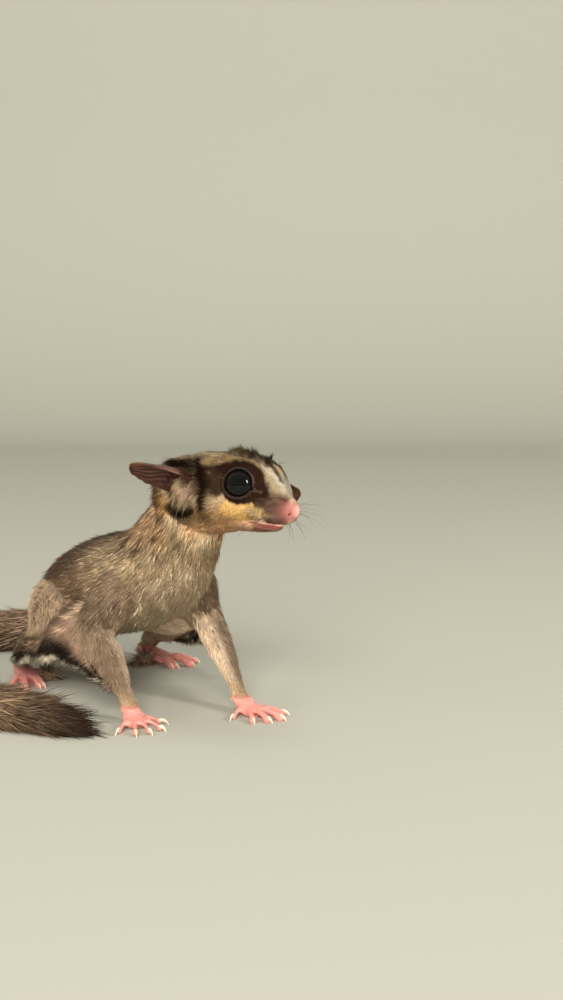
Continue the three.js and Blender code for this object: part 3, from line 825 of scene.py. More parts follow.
@dataclass(frozen=True)
class Digit:
    """A finger or toe: degrees outward, root, length, radius and the radius of its pad."""

    way: float
    root: tuple
    length: float
    radius: float
    pad: float
    clawed: bool = True

    # (share of the length, share of the knuckle's height, share of the radius)
    arch = ((0.32, 0.75, 1.02), (0.5, 0.62, 0.86), (0.68, 0.36, 0.92))
    # (share of the length, height over the pad's middle, share of the pad's radius)
    tip = ((0.86, 0, 1), (0.96, 0.15, 0.8), (1.02, 0.3, 0.4))
    # (share of the claw's length, height over its root, half-width, half-height)
    hook = (
        (0, 0, 0.4, 0.5), (0.4, 0.22, 0.4, 0.55), (0.75, -0.1, 0.26, 0.42), (1.02, -0.85, 0.12, 0.2),
        (1.08, -1.25, 0.04, 0.05),
    )

    def tube(self, side: int, rows: Iterable[tuple], steps: int, sides: int) -> Shell:
        """A tube over the digit's line on the floor, from rows (reach, height, *radii)."""
        way = math.radians(self.way * side)
        x, y = self.root[0], self.root[1] * side
        stations = [
            (x + math.cos(way) * reach, y + math.sin(way) * reach, height, *radii)
            for reach, height, *radii in rows
        ]
        return Tube(stations, steps=steps, sides=sides).shell()

    def shell(self, side: int, knuckle: float) -> Shell:
        """The digit's flesh: it arches over its knuckle down to its pad."""
        on_floor = self.pad - Foot.drop
        rows = [(-1.5, 1.9, self.radius * 1.1)]
        rows += [(self.length * a, self.radius + knuckle * b, self.radius * c) for a, b, c in self.arch]
        rows += [(self.length * a, on_floor + b, self.pad * c) for a, b, c in self.tip]
        return self.tube(side, rows, 36, 24)

    def claw(self, side: int) -> Shell:
        """The digit's hooked claw, with its root in the flesh over the pad."""
        start, base = self.length * 0.8, self.pad * 1.12
        rows = [(start + Foot.claw * a, base + b, *radii) for a, b, *radii in self.hook]
        return self.tube(side, rows, 22, 14)


@dataclass(frozen=True)
class Foot:
    """A foot, in a frame whose x axis is its own line on the floor, given for the left side."""

    name: str
    leg: Leg
    turn: float
    ahead: float
    palm: tuple
    digits: tuple
    knuckle: float
    pads: tuple
    voxel: float = 0.36

    drop = 0.35  # how far the pads are sunk below the floor, where they lie flat
    claw = 3.1  # length of the claws

    def frame(self) -> Array:
        """Where the foot stands, in the animal's frame."""
        x, y = self.leg.stations(1)[-1][:2]
        return moved((x + self.ahead, y, 0)) @ turned(self.leg.side.value * self.turn, "Z")

    def shell(self) -> Shell:
        """Palm, pads and digits as one, flat where they rest on the floor."""
        side = self.leg.side.value
        palm = Tube([mirrored(station, side) for station in self.palm], steps=36, sides=32)
        parts = [palm.shell(), *(digit.shell(side, self.knuckle) for digit in self.digits)]
        parts += [egg(mirrored(place, side), radii, 20) for place, radii in self.pads]
        made = fused([part.placed(self.frame()) for part in parts], self.voxel, 3)
        made.points[:, 2] = np.maximum(made.points[:, 2], 0)
        return made

    def claws(self) -> Shell:
        """All claws of the foot."""
        side = self.leg.side.value
        hooks = joined(digit.claw(side) for digit in self.digits if digit.clawed)
        made = hooks.placed(self.frame())
        made.points[:, 2] = np.maximum(made.points[:, 2], 0.02)
        return made

    def strips(self) -> list[Strip]:
        """The lie of the short hair over the foot, towards its toes."""
        share = np.linspace(0, 1, 8)
        made = self.frame()
        start, end = self.palm[0][0], self.palm[-1][0] + 9
        middles = placed(made, np.stack([start + (end - start) * share, 0 * share, 1.5 + 0 * share], 1))
        name = self.name + self.leg.side.end
        return [even_strip(name, middles, made[:3, 0], 3.4, (0, 0, 1), share, end - start)]


PAW_DIGITS = (
    Digit(-58, (1.2, -2.6), 6.6, 0.95, 1.15),
    Digit(-25, (4.6, -2.2), 8.6, 0.98, 1.2),
    Digit(-5, (5.4, -0.6), 9.4, 1.0, 1.22),
    Digit(12, (5.2, 1.1), 10.4, 1.05, 1.28),
    Digit(36, (3.6, 2.5), 8.8, 0.98, 1.2),
)
FOOT_DIGITS = (
    Digit(-72, (3.4, -2.4), 8.2, 1.35, 1.9, clawed=False),
    Digit(-13, (8.4, -2.3), 7.8, 0.92, 1.05),
    Digit(-10, (8.6, -0.9), 8.6, 0.92, 1.05),
    Digit(8, (8.2, 1.1), 11.6, 1.1, 1.4),
    Digit(27, (6.6, 2.6), 10.6, 1.05, 1.3),
)
PAW_PALM = (
    (-4.5, 0, 5.6, 2.7, 2.2), (-1, 0, 3.5, 3.1, 2.2), (3, 0, 1.8, 3.8, 2.05), (7, 0, 1.5, 3.4, 1.6),
)
FOOT_PALM = (
    (-6.5, 0, 3.8, 2.8, 2.4), (-2, 0, 2.6, 3.4, 2.4), (4.5, 0, 1.9, 4.2, 2.1), (9.5, 0, 1.6, 3.9, 1.7),
)
PAW_PADS = (
    ((0.2, 2.1, 1.0), (1.7, 1.3, 1.1)),
    ((0.4, -1.9, 1.0), (1.6, 1.3, 1.1)),
    ((4.6, 2.3, 0.9), (1.4, 1.1, 1.0)),
    ((5.4, 0.2, 0.9), (1.3, 1.1, 1.0)),
    ((4.4, -2.2, 0.9), (1.4, 1.1, 1.0)),
)


def feet(all_legs: Sequence[Leg]) -> list[Foot]:
    """A foot at the end of each leg."""
    kinds = {
        "foreleg": ("forepaw", 8, 0, PAW_PALM, PAW_DIGITS, 1.5),
        "hindleg": ("hindfoot", 12, 4.3, FOOT_PALM, FOOT_DIGITS, 1.9),
    }
    return [Foot(name, leg, *rest, PAW_PADS) for leg in all_legs for name, *rest in (kinds[leg.name],)]


# Gliding membranes


@dataclass(frozen=True)
class Membrane:
    """The soft fold along a flank, from the wrist to the ankle, given for the left side."""

    side: Side
    roots: tuple = (
        (27.5, 17.5, 11.2), (18.5, 17, 19), (9, 15, 27.5), (-2, 16, 32), (-14, 18, 28), (-25, 20, 20),
        (-35, 24, 11.8),
    )
    edges: tuple = (
        (26, 21.8, 9.6), (15.5, 25.5, 13.5), (4.5, 28, 15), (-6, 30.5, 13.6), (-16, 32.5, 11), (-26, 32, 9),
        (-36, 29.2, 8.6),
    )
    thickness: float = 1.5
    bulge: float = 3.4
    ruffle: float = 1.5
    waves: float = 4.5

    def middle(self, t: Array, u: Array) -> Array:
        """Points half way through the fold.

        Args:
            t: how far back along the flank, from 0 to 1.
            u: how far out from the root to the free edge, from 0 to 1.
        """
        side = self.side.value
        root, edge = (Curve([mirrored(p, side) for p in line]).at(t) for line in (self.roots, self.edges))
        wave = self.ruffle * np.sin(TURN * self.waves * t) * np.sin(math.pi * t)
        fine = 0.35 * np.sin(TURN * 13 * t + 2 * u) * np.sin(math.pi * t)
        out = (wave + fine) * u + self.bulge * np.sin(math.pi * u) * np.sin(math.pi * t)
        place = root + (edge - root) * u[:, None]
        place[:, 1] += side * out
        return place

    def shell(self) -> Shell:
        """The fold, with a rounded free edge."""
        rows, across = 120, 20
        u = np.linspace(0, 1, across + 1)
        half = self.thickness / 2 * (1 - 0.3 * u**2)
        half[-1] *= 0.45
        offset = np.stack([0 * half, self.side.value * half, half * 0.5], 1)
        rings = []
        for t in np.linspace(0, 1, rows + 1):
            middle = self.middle(np.full(len(u), t), u)
            rings.append(np.vstack([middle + offset, (middle - offset)[::-1]]))
        return skin_over(np.array(rings))

    def strips(self) -> list[Strip]:
        """The lie of its coat, outwards and back."""
        t, u = grid(np.linspace(0, 1, 36), np.linspace(0, 1, 7))
        here = self.middle(t, u)
        out = unit(self.middle(t, u + 0.05) - here)
        back = unit(self.middle(np.minimum(t + 0.02, 1), u) - self.middle(np.maximum(t - 0.02, 0), u))
        lies = unit(out * (0.5 + u[:, None]) + back)
        over = (0, self.side.value, 0.5)
        return [even_strip("membrane" + self.side.end, here, lies, 1.25, over, t, 70.0, u)]


# Tail


@dataclass(frozen=True)
class Tail:
    """The tail's core, which runs down from the rump and curls forward on the floor."""

    coat: tuple = (
        (-55, 0, 19, 6), (-67, -1, 13.2, 7.4), (-79, -8, 8.4, 8.8), (-88, -24, 6, 9.8), (-84, -43, 6, 10.3),
        (-68, -58, 6.1, 10.6), (-44, -65, 6.1, 10.5), (-18, -64, 5.8, 10), (6, -57, 5.2, 9),
        (24, -47, 4.1, 7.2), (34, -40, 2.9, 5), (39, -36, 1.6, 1.9),
    )
    core: float = 0.55  # radius of the flesh, as a share of the coat's

    def tube(self) -> Tube:
        """The core, without its coat."""
        return Tube([(x, y, z, r * self.core) for x, y, z, r in self.coat], steps=150, sides=32)

    def shells(self) -> list[Shell]:
        """The flesh of the tail, flat where it lies on the floor."""
        made = self.tube().shell()
        made.points[:, 2] = np.maximum(made.points[:, 2], 0.25)
        return [made]

    def strips(self) -> list[Strip]:
        """The lie of its coat, towards the tip."""
        return [tube_strip("tail", self.tube(), forwards=True, samples=90)]


# The skin


@dataclass
class Skin:
    """One skin over the whole animal, with what its coat and colours need at each corner."""

    shell: Shell
    normals: Array
    strips: list[Strip]
    strip: Array  # the strip that each corner belongs to
    share: Array  # how far along that strip it lies
    lie: Array  # the way that its hair points, along the skin

    @property
    def points(self) -> Array:
        """The corners, in the animal's frame."""
        return self.shell.points

    def on(self, *names: str) -> Array:
        """True for each corner on a strip whose name starts with one of these."""
        chosen = [strip.name.startswith(names) for strip in self.strips]
        return np.array(chosen)[self.strip]


CHUNK = 8000  # points that are compared with the strips at once, which bounds the memory


def nearest(points: Array, strips: Sequence[Strip]) -> tuple[Array, Array]:
    """The strip sample that each point belongs to, by its distance in girths.

    Args:
        points: places in the animal's frame.
        strips: the strips to choose from.

    Returns:
        The number of each point's strip, and of its sample among all samples in order.
    """
    middles = np.vstack([strip.middles for strip in strips]).astype(np.float32)
    radii = np.concatenate([strip.radii for strip in strips]).astype(np.float32)
    owner = np.concatenate([np.full(len(s.middles), i) for i, s in enumerate(strips)])
    best = np.empty(len(points), int)
    for start in range(0, len(points), CHUNK):
        part = points[start : start + CHUNK].astype(np.float32)
        away = ((part[:, None] - middles[None]) ** 2).sum(2) / radii**2
        best[start : start + CHUNK] = away.argmin(1)
    return owner[best], best


class Animal:
    """All the sub-assemblies, and the skin that is made of them."""

    def __init__(self) -> None:
        self.trunk = Trunk()
        self.head = Head()
        self.ears = [
            Ear(Side.RIGHT, (8.9, -8.6, 7.2), (-0.36, -0.91, 0.05), (0.5, -0.1, -0.8), 1.5),
            Ear(Side.LEFT, (12, 9.5, 7.8), (0.6, 0.78, -0.18), (0.6, -0.35, -0.55), 1.4),
        ]
        self.legs = legs()
        self.feet = feet(self.legs)
        self.membranes = [Membrane(side) for side in Side]
        self.tail = Tail()

    def strips(self) -> list[Strip]:
        """Every strip of the body."""
        owners = [self.trunk, self.head, *self.ears, *self.legs, *self.feet, *self.membranes, self.tail]
        return [strip for owner in owners for strip in owner.strips()]

    def surface(self) -> Shell:
        """The whole skin as one closed surface."""
        flesh = [shell for owner in (self.trunk, self.tail, *self.legs) for shell in owner.shells()]
        body = fused(flesh, BODY_VOXEL, 5)
        body.points[:, 2] = np.maximum(body.points[:, 2], 0.2)
        others = [owner.shell() for owner in (*self.membranes, *self.feet, self.head, *self.ears)]
        return self.eased(combined(body, others, "UNION"))

    @staticmethod
    def eased(shell: Shell) -> Shell:
        """The skin with the crease between the head and the neck smoothed away."""
        x, y, z = placed(HEAD_BACK, shell.points).T
        back = ramp(9, 1, x) * ramp(-22, -12, x) * ramp(20, 14, np.abs(y))
        back = np.maximum(back, ramp(-5, -9, z) * ramp(22, 12, x) * ramp(-22, -12, x))
        ears = ramp(8, 10, np.abs(y)) * ramp(4, 7, z) * ramp(2, 5, x)
        weight = (back * (1 - ears))[:, None]
        smooth = shell.points
        for _ in range(3):
            smooth = smooth + (spread(Shell(smooth, shell.faces), smooth, 8) - smooth) * weight
        return Shell(smooth, shell.faces)

    def skin(self) -> Skin:
        """The skin, with the lie of its coat worked out."""
        shell = self.surface()
        log.info("skin: %d faces", len(shell.faces))
        strips = self.strips()
        strip, sample = nearest(shell.points, strips)
        lies = np.vstack([s.lies for s in strips])[sample]
        share = np.concatenate([s.shares for s in strips])[sample]
        normals = normals_of(shell)
        even = unit(spread(shell, normals, 6))
        lie = spread(shell, self.combed(shell.points, strip, strips, lies), 25)
        lie = unit(lie - even * (lie * even).sum(1, keepdims=True))
        return Skin(shell, even, strips, strip, share, lie)

    @staticmethod
    def combed(points: Array, strip: Array, strips: Sequence[Strip], lies: Array) -> Array:
        """The strips' lies, turned round the eyes, over the cheeks and down the flanks."""
        names = np.array([s.name for s in strips])[strip]
        made = lies.copy()
        local = placed(HEAD_BACK, points)
        turn = HEAD_FRAME[:3, :3].T
        on_head = names == "head"
        for side in (1, -1):
            away = local - np.array(mirrored(EYE_PLACE, side))
            far = np.linalg.norm(away, axis=1, keepdims=True)
            close = ramp(13, 6, far) * on_head[:, None]
            made += 1.1 * close * (unit(away) @ turn)
        low = ramp(6, -8, local[:, 2]) * on_head * ramp(38, 30, local[:, 0])
        made += 0.55 * low[:, None] * (np.array([[0, 0, -1.0]]) @ turn)
        hang = blob(left_half(local), (9.5, 14, 0), (6.5, 5, 7), 0.4) * on_head
        made += 2.2 * hang[:, None] * (np.array([[0.1, 0, -1.0]]) @ turn)
        crown = ramp(6, 14, local[:, 2]) * on_head
        made += 0.3 * crown[:, None] * (np.sign(local[:, 1:2]) * (np.array([[0, 1.0, 0]]) @ turn))
        flank = (names == "trunk")[:, None]
        made += flank * 0.35 * np.array([[0, 0, -1.0]])
        return unit(made)


# The coat's colours


@dataclass(frozen=True)
class Mark:
    """A stroke of colour on the face, as a side view of the head shows it.

    Its stations are (forward, up, half-width) in millimetres from the middle of the eye.
    """

    code: str
    strength: float
    soft: float
    stations: tuple

    def weight(self, forward: Array, upward: Array) -> Array:
        """How strongly it covers each place of the side view."""
        reach = np.full(len(forward), 99.0)
        for x, z, radius in Curve(self.stations).at(np.linspace(0, 1, 8 * len(self.stations))):
            reach = np.minimum(reach, np.hypot(forward - x, upward - z) / radius)
        return self.strength * ramp(1 + self.soft, 1 - self.soft, reach)


FACE_MARKS = (
    # the cheek
    Mark("#bd976c", 1, 0.5, ((-11.9, -7, 2.6), (-6.4, -9, 2.9), (0.9, -10.4, 2.6))),
    Mark("#dcae84", 0.9, 0.6, ((-14.8, -11.6, 2.3), (-6.4, -12.8, 2.3), (2.3, -12.8, 2))),
    Mark("#d0a283", 0.8, 0.7, ((0.5, -11.6, 1.2), (5, -11.9, 1.4), (9, -12.8, 1.2))),
    Mark("#b89d7c", 0.95, 0.45, ((-9.3, -4.6, 1.4), (-6.7, -4.6, 1.7), (-4.3, -5.8, 1.7))),
    Mark("#f2c27c", 1, 0.4, ((-3.8, -6.4, 1.7), (-0.3, -7.2, 2.3), (3.8, -7.5, 2), (6.4, -8.4, 1.4))),
    Mark("#f6d6a2", 0.8, 0.6, ((2.3, -7.2, 0.8), (4.6, -8.1, 1.1), (6.2, -9, 0.8))),
    # grey-brown in front of the ear, with a light streak, and the dark band with its olive end
    Mark("#705838", 0.8, 0.5, ((-10.7, -6.4, 1.7), (-9.6, -8.7, 1.4))),
    Mark("#76604a", 0.9, 0.4, ((-14.2, 6.1, 1.7), (-13.9, 2.6, 2), (-13.3, -1.2, 2))),
    Mark("#c9b092", 0.75, 0.5, ((-14.8, 2.9, 0.5), (-14.2, 0, 0.6), (-13.3, -3.5, 0.6))),
    Mark("#21120a", 1, 0.55, (
        (-11.4, 6.5, 1.6), (-10.6, 4.1, 2.1), (-10.1, 0.9, 2.1), (-10.1, -2, 1.8), (-10.8, -4.6, 1.3),
        (-10.7, -6.2, 0.8),
    )),
    Mark("#24150e", 0.95, 0.4, ((-8, 5.2, 1.7), (-6.2, 4.4, 2.2), (-6.4, 0.8, 2.6), (-6.8, -1.8, 1.5))),
    Mark("#4d3628", 0.6, 0.6, ((-7.8, 4.2, 0.3), (-7.4, 0.6, 0.4), (-7.6, -1.6, 0.3))),
    Mark("#4d3628", 0.5, 0.6, ((-5.8, 3.4, 0.25), (-5.6, 0.2, 0.35), (-5.9, -1.4, 0.25))),
    # the tan arch over the eye
    Mark("#bf9f72", 0.9, 0.4, (
        (-9, 7.2, 1.4), (-4.3, 7, 1.2), (0.3, 7.2, 1), (3.8, 6.1, 1), (6.1, 4.1, 1), (7.5, 2, 0.9),
    )),
    # the patch round the eye, its front and its foot
    Mark("#2c1a11", 1, 0.08, ((0.1, 0.5, 6.1), (0.2, 0.5, 6.1))),
    Mark("#2c1a11", 1, 0.25, (
        (-4.4, 4.6, 1.8), (0, 5.7, 1.7), (3.2, 4.2, 2.3), (5.5, 1.7, 2.4), (7.5, -0.9, 1.8), (9.9, -2.9, 0.9),
    )),
    Mark("#2c1a11", 1, 0.3, (
        (0.3, -4.1, 1), (4.3, -4.1, 1.3), (6.6, -3.2, 1.5), (8.2, -3.5, 1.1), (10.1, -3.2, 0.7),
    )),
    # the blaze with a paler streak down it, partly a painted highlight towards its front, and the front of
    # the stripe with its light middle
    Mark("#a08f70", 0.9, 0.6, (
        (5.5, 6.3, 0.9), (7.4, 4.9, 1.1), (9.3, 2.2, 1.7), (11, -0.6, 2.2), (12.8, -2.6, 1.9),
    )),
    # the paler streak: partly the blaze's own colour, partly a painted highlight where it nears the nose
    Mark("#cbc3b2", 0.7, 0.8, ((7.2, 5.4, 0.5), (10.2, 2.4, 0.6), (13, -0.4, 1.3), (15, -2.8, 1.6))),
    Mark("#3a2b1d", 0.9, 0.5, ((6.7, 7.6, 0.8), (9.6, 5.5, 0.8), (11.3, 2.9, 0.75), (12.8, 0.8, 0.4))),
    Mark("#a58c66", 0.8, 0.5, ((10.7, 6.4, 0.8), (12.5, 4.1, 0.8), (13.8, 1.7, 0.5))),
    # the muzzle
    Mark("#7a6450", 0.85, 0.7, ((9.6, -3.4, 0.9), (12.2, -3.5, 1.1), (14.4, -3.7, 0.8))),
    Mark("#46322a", 0.95, 0.6, ((5.2, -5.4, 1), (8, -5.4, 1.6), (11, -5.1, 1.6), (13.4, -5, 1.1))),
    Mark("#57372f", 0.95, 0.6, (
        (8.2, -7.2, 1.5), (10.4, -7.6, 2.2), (12.3, -7.4, 2.2), (12.3, -9.6, 2), (9, -10.4, 1.6),
    )),
    Mark("#623a33", 0.85, 0.9, ((12.8, -5.8, 1.2), (13.6, -8, 1.8), (13.1, -10.8, 1.6))),
    Mark("#74483e", 0.85, 0.7, ((5.2, -12.2, 1.1), (8.8, -13.1, 1.3), (12.8, -13.2, 1.2))),
    # round the ear: dark over it, a pale tuft below it, gold and black behind and below
    Mark("#2a1b13", 1, 0.35, ((-19.4, 6.7, 1.3), (-16.5, 6.1, 1.7), (-14.5, 4.9, 1.7), (-15.9, 3.2, 1.2))),
    Mark("#c9aa92", 1, 0.5, ((-17.4, 0.8, 1), (-16.2, -0.4, 1.4), (-16.4, -1.8, 1.3))),
    Mark("#5b4336", 0.7, 0.6, ((-18.6, 0.6, 0.4), (-18.2, -1.8, 0.5), (-18.4, -3.4, 0.4))),
    Mark("#e6b47c", 1, 0.35, ((-24.6, -0.8, 1.3), (-23.2, -3.8, 1.9), (-21.7, -6.4, 1.2))),
    Mark("#1b1109", 0.95, 0.35, ((-24.9, -3.8, 1), (-25.8, -7, 1.7), (-23.2, -8.1, 0.9))),
    Mark("#110a07", 1, 0.4, ((-20.8, -4.4, 1.2), (-18.8, -5.2, 1.6), (-16.8, -5.5, 1.6), (-14.2, -5.9, 1.2))),
)
SIDE_FORWARD = (0.788, -0.608, 0.096)  # the side view's own axes, in the head's frame
SIDE_UPWARD = (-0.075, 0.06, 0.996)


@dataclass
class Paint:
    """Linear colours that are laid one over another."""

    colour: Array

    def lay(self, code: str, weight: Array) -> None:
        """Lays a colour over what is there."""
        weight = np.clip(weight, 0, 1)[:, None]
        self.colour = self.colour * (1 - weight) + linear(code) * weight

    @staticmethod
    def of(code: str, count: int) -> "Paint":
        """One colour everywhere."""
        return Paint(np.tile(linear(code), (count, 1)))


@dataclass(frozen=True)
class Markings:
    """The colours of the coat and of the bare skin."""

    crown: str = "#bda684"
    stripe: str = "#2b2118"
    bridge: str = "#a59b83"
    nose: str = "#a0625a"
    # a pale dry ridge on the nose's front edge, painted lighter there as a highlight too
    blush: str = "#c9a298"
    lip: str = "#dcb09f"
    # the lower lip's red-pink, painted darker as the shade under the upper lip that overhangs it
    lower_lip: str = "#643b34"
    mouth: str = "#8e4038"
    lid: str = "#1d1512"
    rim: str = "#1d1714"
    corner: str = "#3d2c24"
    ear_base: str = "#33211a"
    black: str = "#17100b"
    throat: str = "#ecd5b4"
    neck: str = "#c8976a"
    shoulder: str = "#efcfab"
    back: str = "#957c68"
    flank: str = "#b69a7c"
    belly: str = "#ecd2b4"
    leg: str = "#97826b"
    wrist: str = "#c9ac88"
    hem: str = "#2f2821"
    fringe: str = "#efe3c8"
    tail: str = "#8a735b"
    tail_tip: str = "#2a2019"
    fuzz: str = "#8c6150"
    down: str = "#f3e2d2"
    paw: str = "#d98c80"
    ear: str = "#3c1f16"
    # painted shade in the valleys of the ear's folds
    ear_fold_shade: str = "#1f0f0a"
    # the pale upper flap, and the painted highlight on the ridges of the folds
    ear_light: str = "#6b4c42"
    ear_tip: str = "#6a3f28"
    concha: str = "#38140f"
    ear_back: str = "#5a4838"

    def face(self, local: Array) -> tuple[Array, Array]:
        """Colours on the head.

        Args:
            local: places in the head's frame.

        Returns:
            A linear colour for each, and how bare of hair each is, from 0 to 1.
        """
        x, y, z = local[:, 0], np.abs(local[:, 1]), local[:, 2]
        q = left_half(local)
        n = mottle(local, 3.2, 11)
        fine = mottle(local, 1.1, 12)
        paint = Paint.of(self.crown, len(q))
        paint.lay(self.neck, ramp(4, -3, x + n))
        paint.lay(self.throat, ramp(-9, -11.5, z + 0.5 * n) * ramp(6, 14, x))
        paint.lay(self.bridge, blob(q, (38.6, 0, 7.2), (3.6, 4.5, 3.6), 0.35))
        width = np.interp(x, [-16, 0, 10, 17, 22, 32, 34], [3.0, 2.9, 2.4, 2.6, 3.9, 3.7, 3.2])
        stripe = ramp(0.9, -0.9, y - width + 0.5 * n + 0.3 * fine) * ramp(3, 7, z) * ramp(35, 32, x)
        paint.lay(self.stripe, stripe * (0.75 + 0.2 * ramp(14, 22, x) - 0.15 * ramp(0, 1, fine)))

        away = q - np.array(EYE_PLACE)
        forward, upward = away @ np.array(SIDE_FORWARD), away @ np.array(SIDE_UPWARD)
        streak = mottle(local * [2.2, 1, 0.6], 1.6, 13)
        forward, upward = forward + 0.12 * n + 0.28 * streak, upward + 0.25 * fine
        aside = ramp(0.4, 1.6, y)
        for mark in FACE_MARKS:
            paint.lay(mark.code, mark.weight(forward, upward) * aside)
        paint.lay(self.black, ramp(3, -2, x) * ramp(0.25, 0.75, n) * ramp(4, 7, y) * ramp(-14, -10, z))

        muzzle = blob(q, (38.3, 3.6, -1.4), (4.6, 4.2, 4.2), 0.4) * ramp(5.5, 2.5, z + 0.4 * n)
        gape = np.interp(x, *zip(*Head.mouth)) - Head.mouth_gap / 2
        below = gape - z
        front = ramp(30.5, 33.5, x)
        upper_lip = ramp(-0.9, -0.4, below) * ramp(0.1, -0.1, below) * front
        lower_lip = ramp(-0.1, 0.1, below) * ramp(1.3, 0.7, below) * front
        paint.lay(self.lip, upper_lip * 0.8)
        # the lower lip: its own red-pink, painted darker as shade under the overhanging upper lip
        paint.lay(self.lower_lip, lower_lip)
        lips = np.maximum(0.6 * upper_lip, lower_lip)
        nose = blob(q, (42.8, 0, -0.9), (2.8, 4.0, 3.7), 0.65)
        paint.lay(self.nose, nose)
        # the nose's front edge: a pale dry ridge with a painted highlight laid on it
        paint.lay(self.blush, nose * blob(q, (43.7, -0.4, -0.4), (0.9, 1.9, 2.8), 0.8) * 0.9)
        paint.lay(self.mouth, ramp(0.22, 0.1, np.abs(below)) * ramp(29, 31, x))
        eye = placed(np.linalg.inv(eye_frame(1)), q)
        droop = math.radians(Head.corner[1])
        ahead = -eye[:, 1] * math.cos(droop) - eye[:, 2] * math.sin(droop)
        over = -eye[:, 1] * math.sin(droop) + eye[:, 2] * math.cos(droop)
        flat = np.stack([ahead, over], 1)
        radius = np.hypot(ahead - Head.ahead, over)
        front = (eye[:, 0] > 1.2) * (np.linalg.norm(eye, axis=1) < 6.4)
        lid = np.maximum(ramp(4.75, 4.6, radius), blob(flat, (4.7, 0), (0.7, 0.4), 0.3)) * front
        paint.lay(self.rim, lid)
        paint.lay(self.lid, ramp(4.62, 4.45, radius) * front)
        crease = blob(flat, (6.2, 0.1), (1.5, 0.15), 0.5) * (eye[:, 0] > 0)
        paint.lay(self.corner, crease * 0.6)
        bare = np.max([nose, 0.9 * lips, 0.42 * muzzle, lid, 0.4 * crease], axis=0)
        return paint.colour, np.clip(bare, 0, 1)

    def hair(self, skin: Skin, colour: Array, bare: Array) -> tuple[Array, Array]:
        """The coat's own colours, which differ from the skin's where that is bare.

        Args:
            skin: what the coat grows on.
            colour: the skin's colours.
            bare: how bare each corner is.

        Returns:
            The hair's colour at each corner, and the share of its tufts that is ticked with black.
        """
        q = placed(HEAD_BACK, skin.points)
        x, y, z = q[:, 0], np.abs(q[:, 1]), q[:, 2]
        half = left_half(q)
        head, trunk = skin.on("head"), skin.on("trunk")
        over = ramp(0.2, 0.5, bare)[:, None]
        fuzz = np.where(head[:, None], 0.5 * linear(self.fuzz) + 0.5 * colour, linear(self.down))
        fuzz = np.where(skin.on("ear")[:, None], linear(self.ear_base), fuzz)
        made = colour * (1 - over) + fuzz * over
        ticks = np.full(len(q), 0.05)
        ticks[trunk] = 0.1 + 0.12 * ramp(0.2, 0.8, skin.normals[trunk][:, 2])
        ticks += 0.16 * (ramp(4, -2, x) * ramp(-24, -14, x) * ramp(-22, -12, z))  # the nape
        ticks += 0.16 * head * ramp(9, 13, z) * ramp(36, 30, x)
        ticks += 0.8 * head * ramp(4.6, 3.4, y) * ramp(18, 21, x) * ramp(7, 9, z) * ramp(35, 33, x)
        ticks += 0.45 * head * blob(half, (36, 5, -1.5), (5.5, 5, 4), 0.5)
        ticks += 0.16 * blob(half, (10, 13.6, 0), (5, 4.5, 4.4), 0.5)
        ticks = np.where(skin.on("tail"), 0.22, ticks)
        ticks = np.where(skin.on("membrane", *FEET), 0.02, ticks)
        return made, ticks

    def of(self, skin: Skin, ears: Sequence[Ear]) -> tuple[Array, Array]:
        """Colours and bareness at every corner of the skin."""
        p, up = skin.points, skin.normals[:, 2]
        x, y, z = p.T
        n = mottle(p, 7, 3)
        fine = mottle(p, 2.2, 4)
        paint = Paint.of(self.back, len(p))
        lay = paint.lay
        regions = (["trunk"], ["membrane"], ["tail"], ["ear"], ["foreleg"], LEGS, FEET)
        trunk, sheet, tail, ear, fore, leg, foot = (skin.on(*names).astype(float) for names in regions)

        lay(self.flank, trunk * ramp(0.6, 0.05, up + 0.12 * n))
        lay(self.shoulder, trunk * ramp(-16, 8, x + 3 * n) * ramp(0.99, 0.8, up + 0.1 * n))
        lay(self.neck, trunk * ramp(54, 60, z + n) * 0.5)
        spots = ramp(0.1, 0.5, mottle(p, 2.2, 6)) * ramp(48, 56, z) * ramp(60, 40, x)
        lay(self.black, trunk * spots * 0.85)
        lay(self.belly, trunk * ramp(-0.15, -0.55, up + 0.1 * n))
        stripe_half = np.interp(x, [-66, -55, -40, 0, 30], [0.4, 1.6, 2.3, 2.7, 2.9])
        trunk_mid = np.interp(x, [-70, 13, 23.5, 31, 37], [0, 0, 0.3, 1.2, 2.4])
        stripe = ramp(1.0, -0.8, np.abs(y - trunk_mid) - stripe_half + 0.4 * fine)
        stripe = stripe * trunk * np.maximum(ramp(0.1, 0.4, up), ramp(-0.3, 0, up) * ramp(18, 24, x))
        lay(self.stripe, stripe * ramp(-66, -50, x) * 0.9)

        outward = skin.normals[:, 1] * np.sign(y)
        lay(self.leg, leg)
        lay(self.belly, leg * ramp(0.1, -0.4, outward + 0.2 * up) * 0.8)
        lay(self.wrist, leg * ramp(13, 5, z + n))
        lay(self.hem, fore * ramp(-2, 0.5, 26 - z + n) * ramp(0.1, 0.6, skin.normals[:, 0]) * 0.35)

        across = np.zeros(len(p))
        for strip in skin.strips:
            if strip.name.startswith("membrane"):
                near = skin.on(strip.name)
                across[near] = strip.sheet[nearest(p[near], [strip])[1]]
        across = spread(skin.shell, across * sheet, 2)
        lay(self.back, sheet * 0.9)
        lay(self.hem, sheet * ramp(0.45, 0.7, across + 0.06 * fine) * ramp(0.98, 0.85, across))
        lay(self.fringe, sheet * ramp(0.86, 0.94, across))

        lay(self.tail, tail)
        lay(self.back, tail * ramp(0.25, 0.08, skin.share + 0.02 * n))
        lay(self.tail_tip, tail * ramp(0.66, 0.9, skin.share + 0.03 * n) * 0.95)
        lay(self.flank, tail * ramp(0.1, 0.7, mottle(p, 5, 9)) * ramp(0.8, 0.6, skin.share) * 0.4)

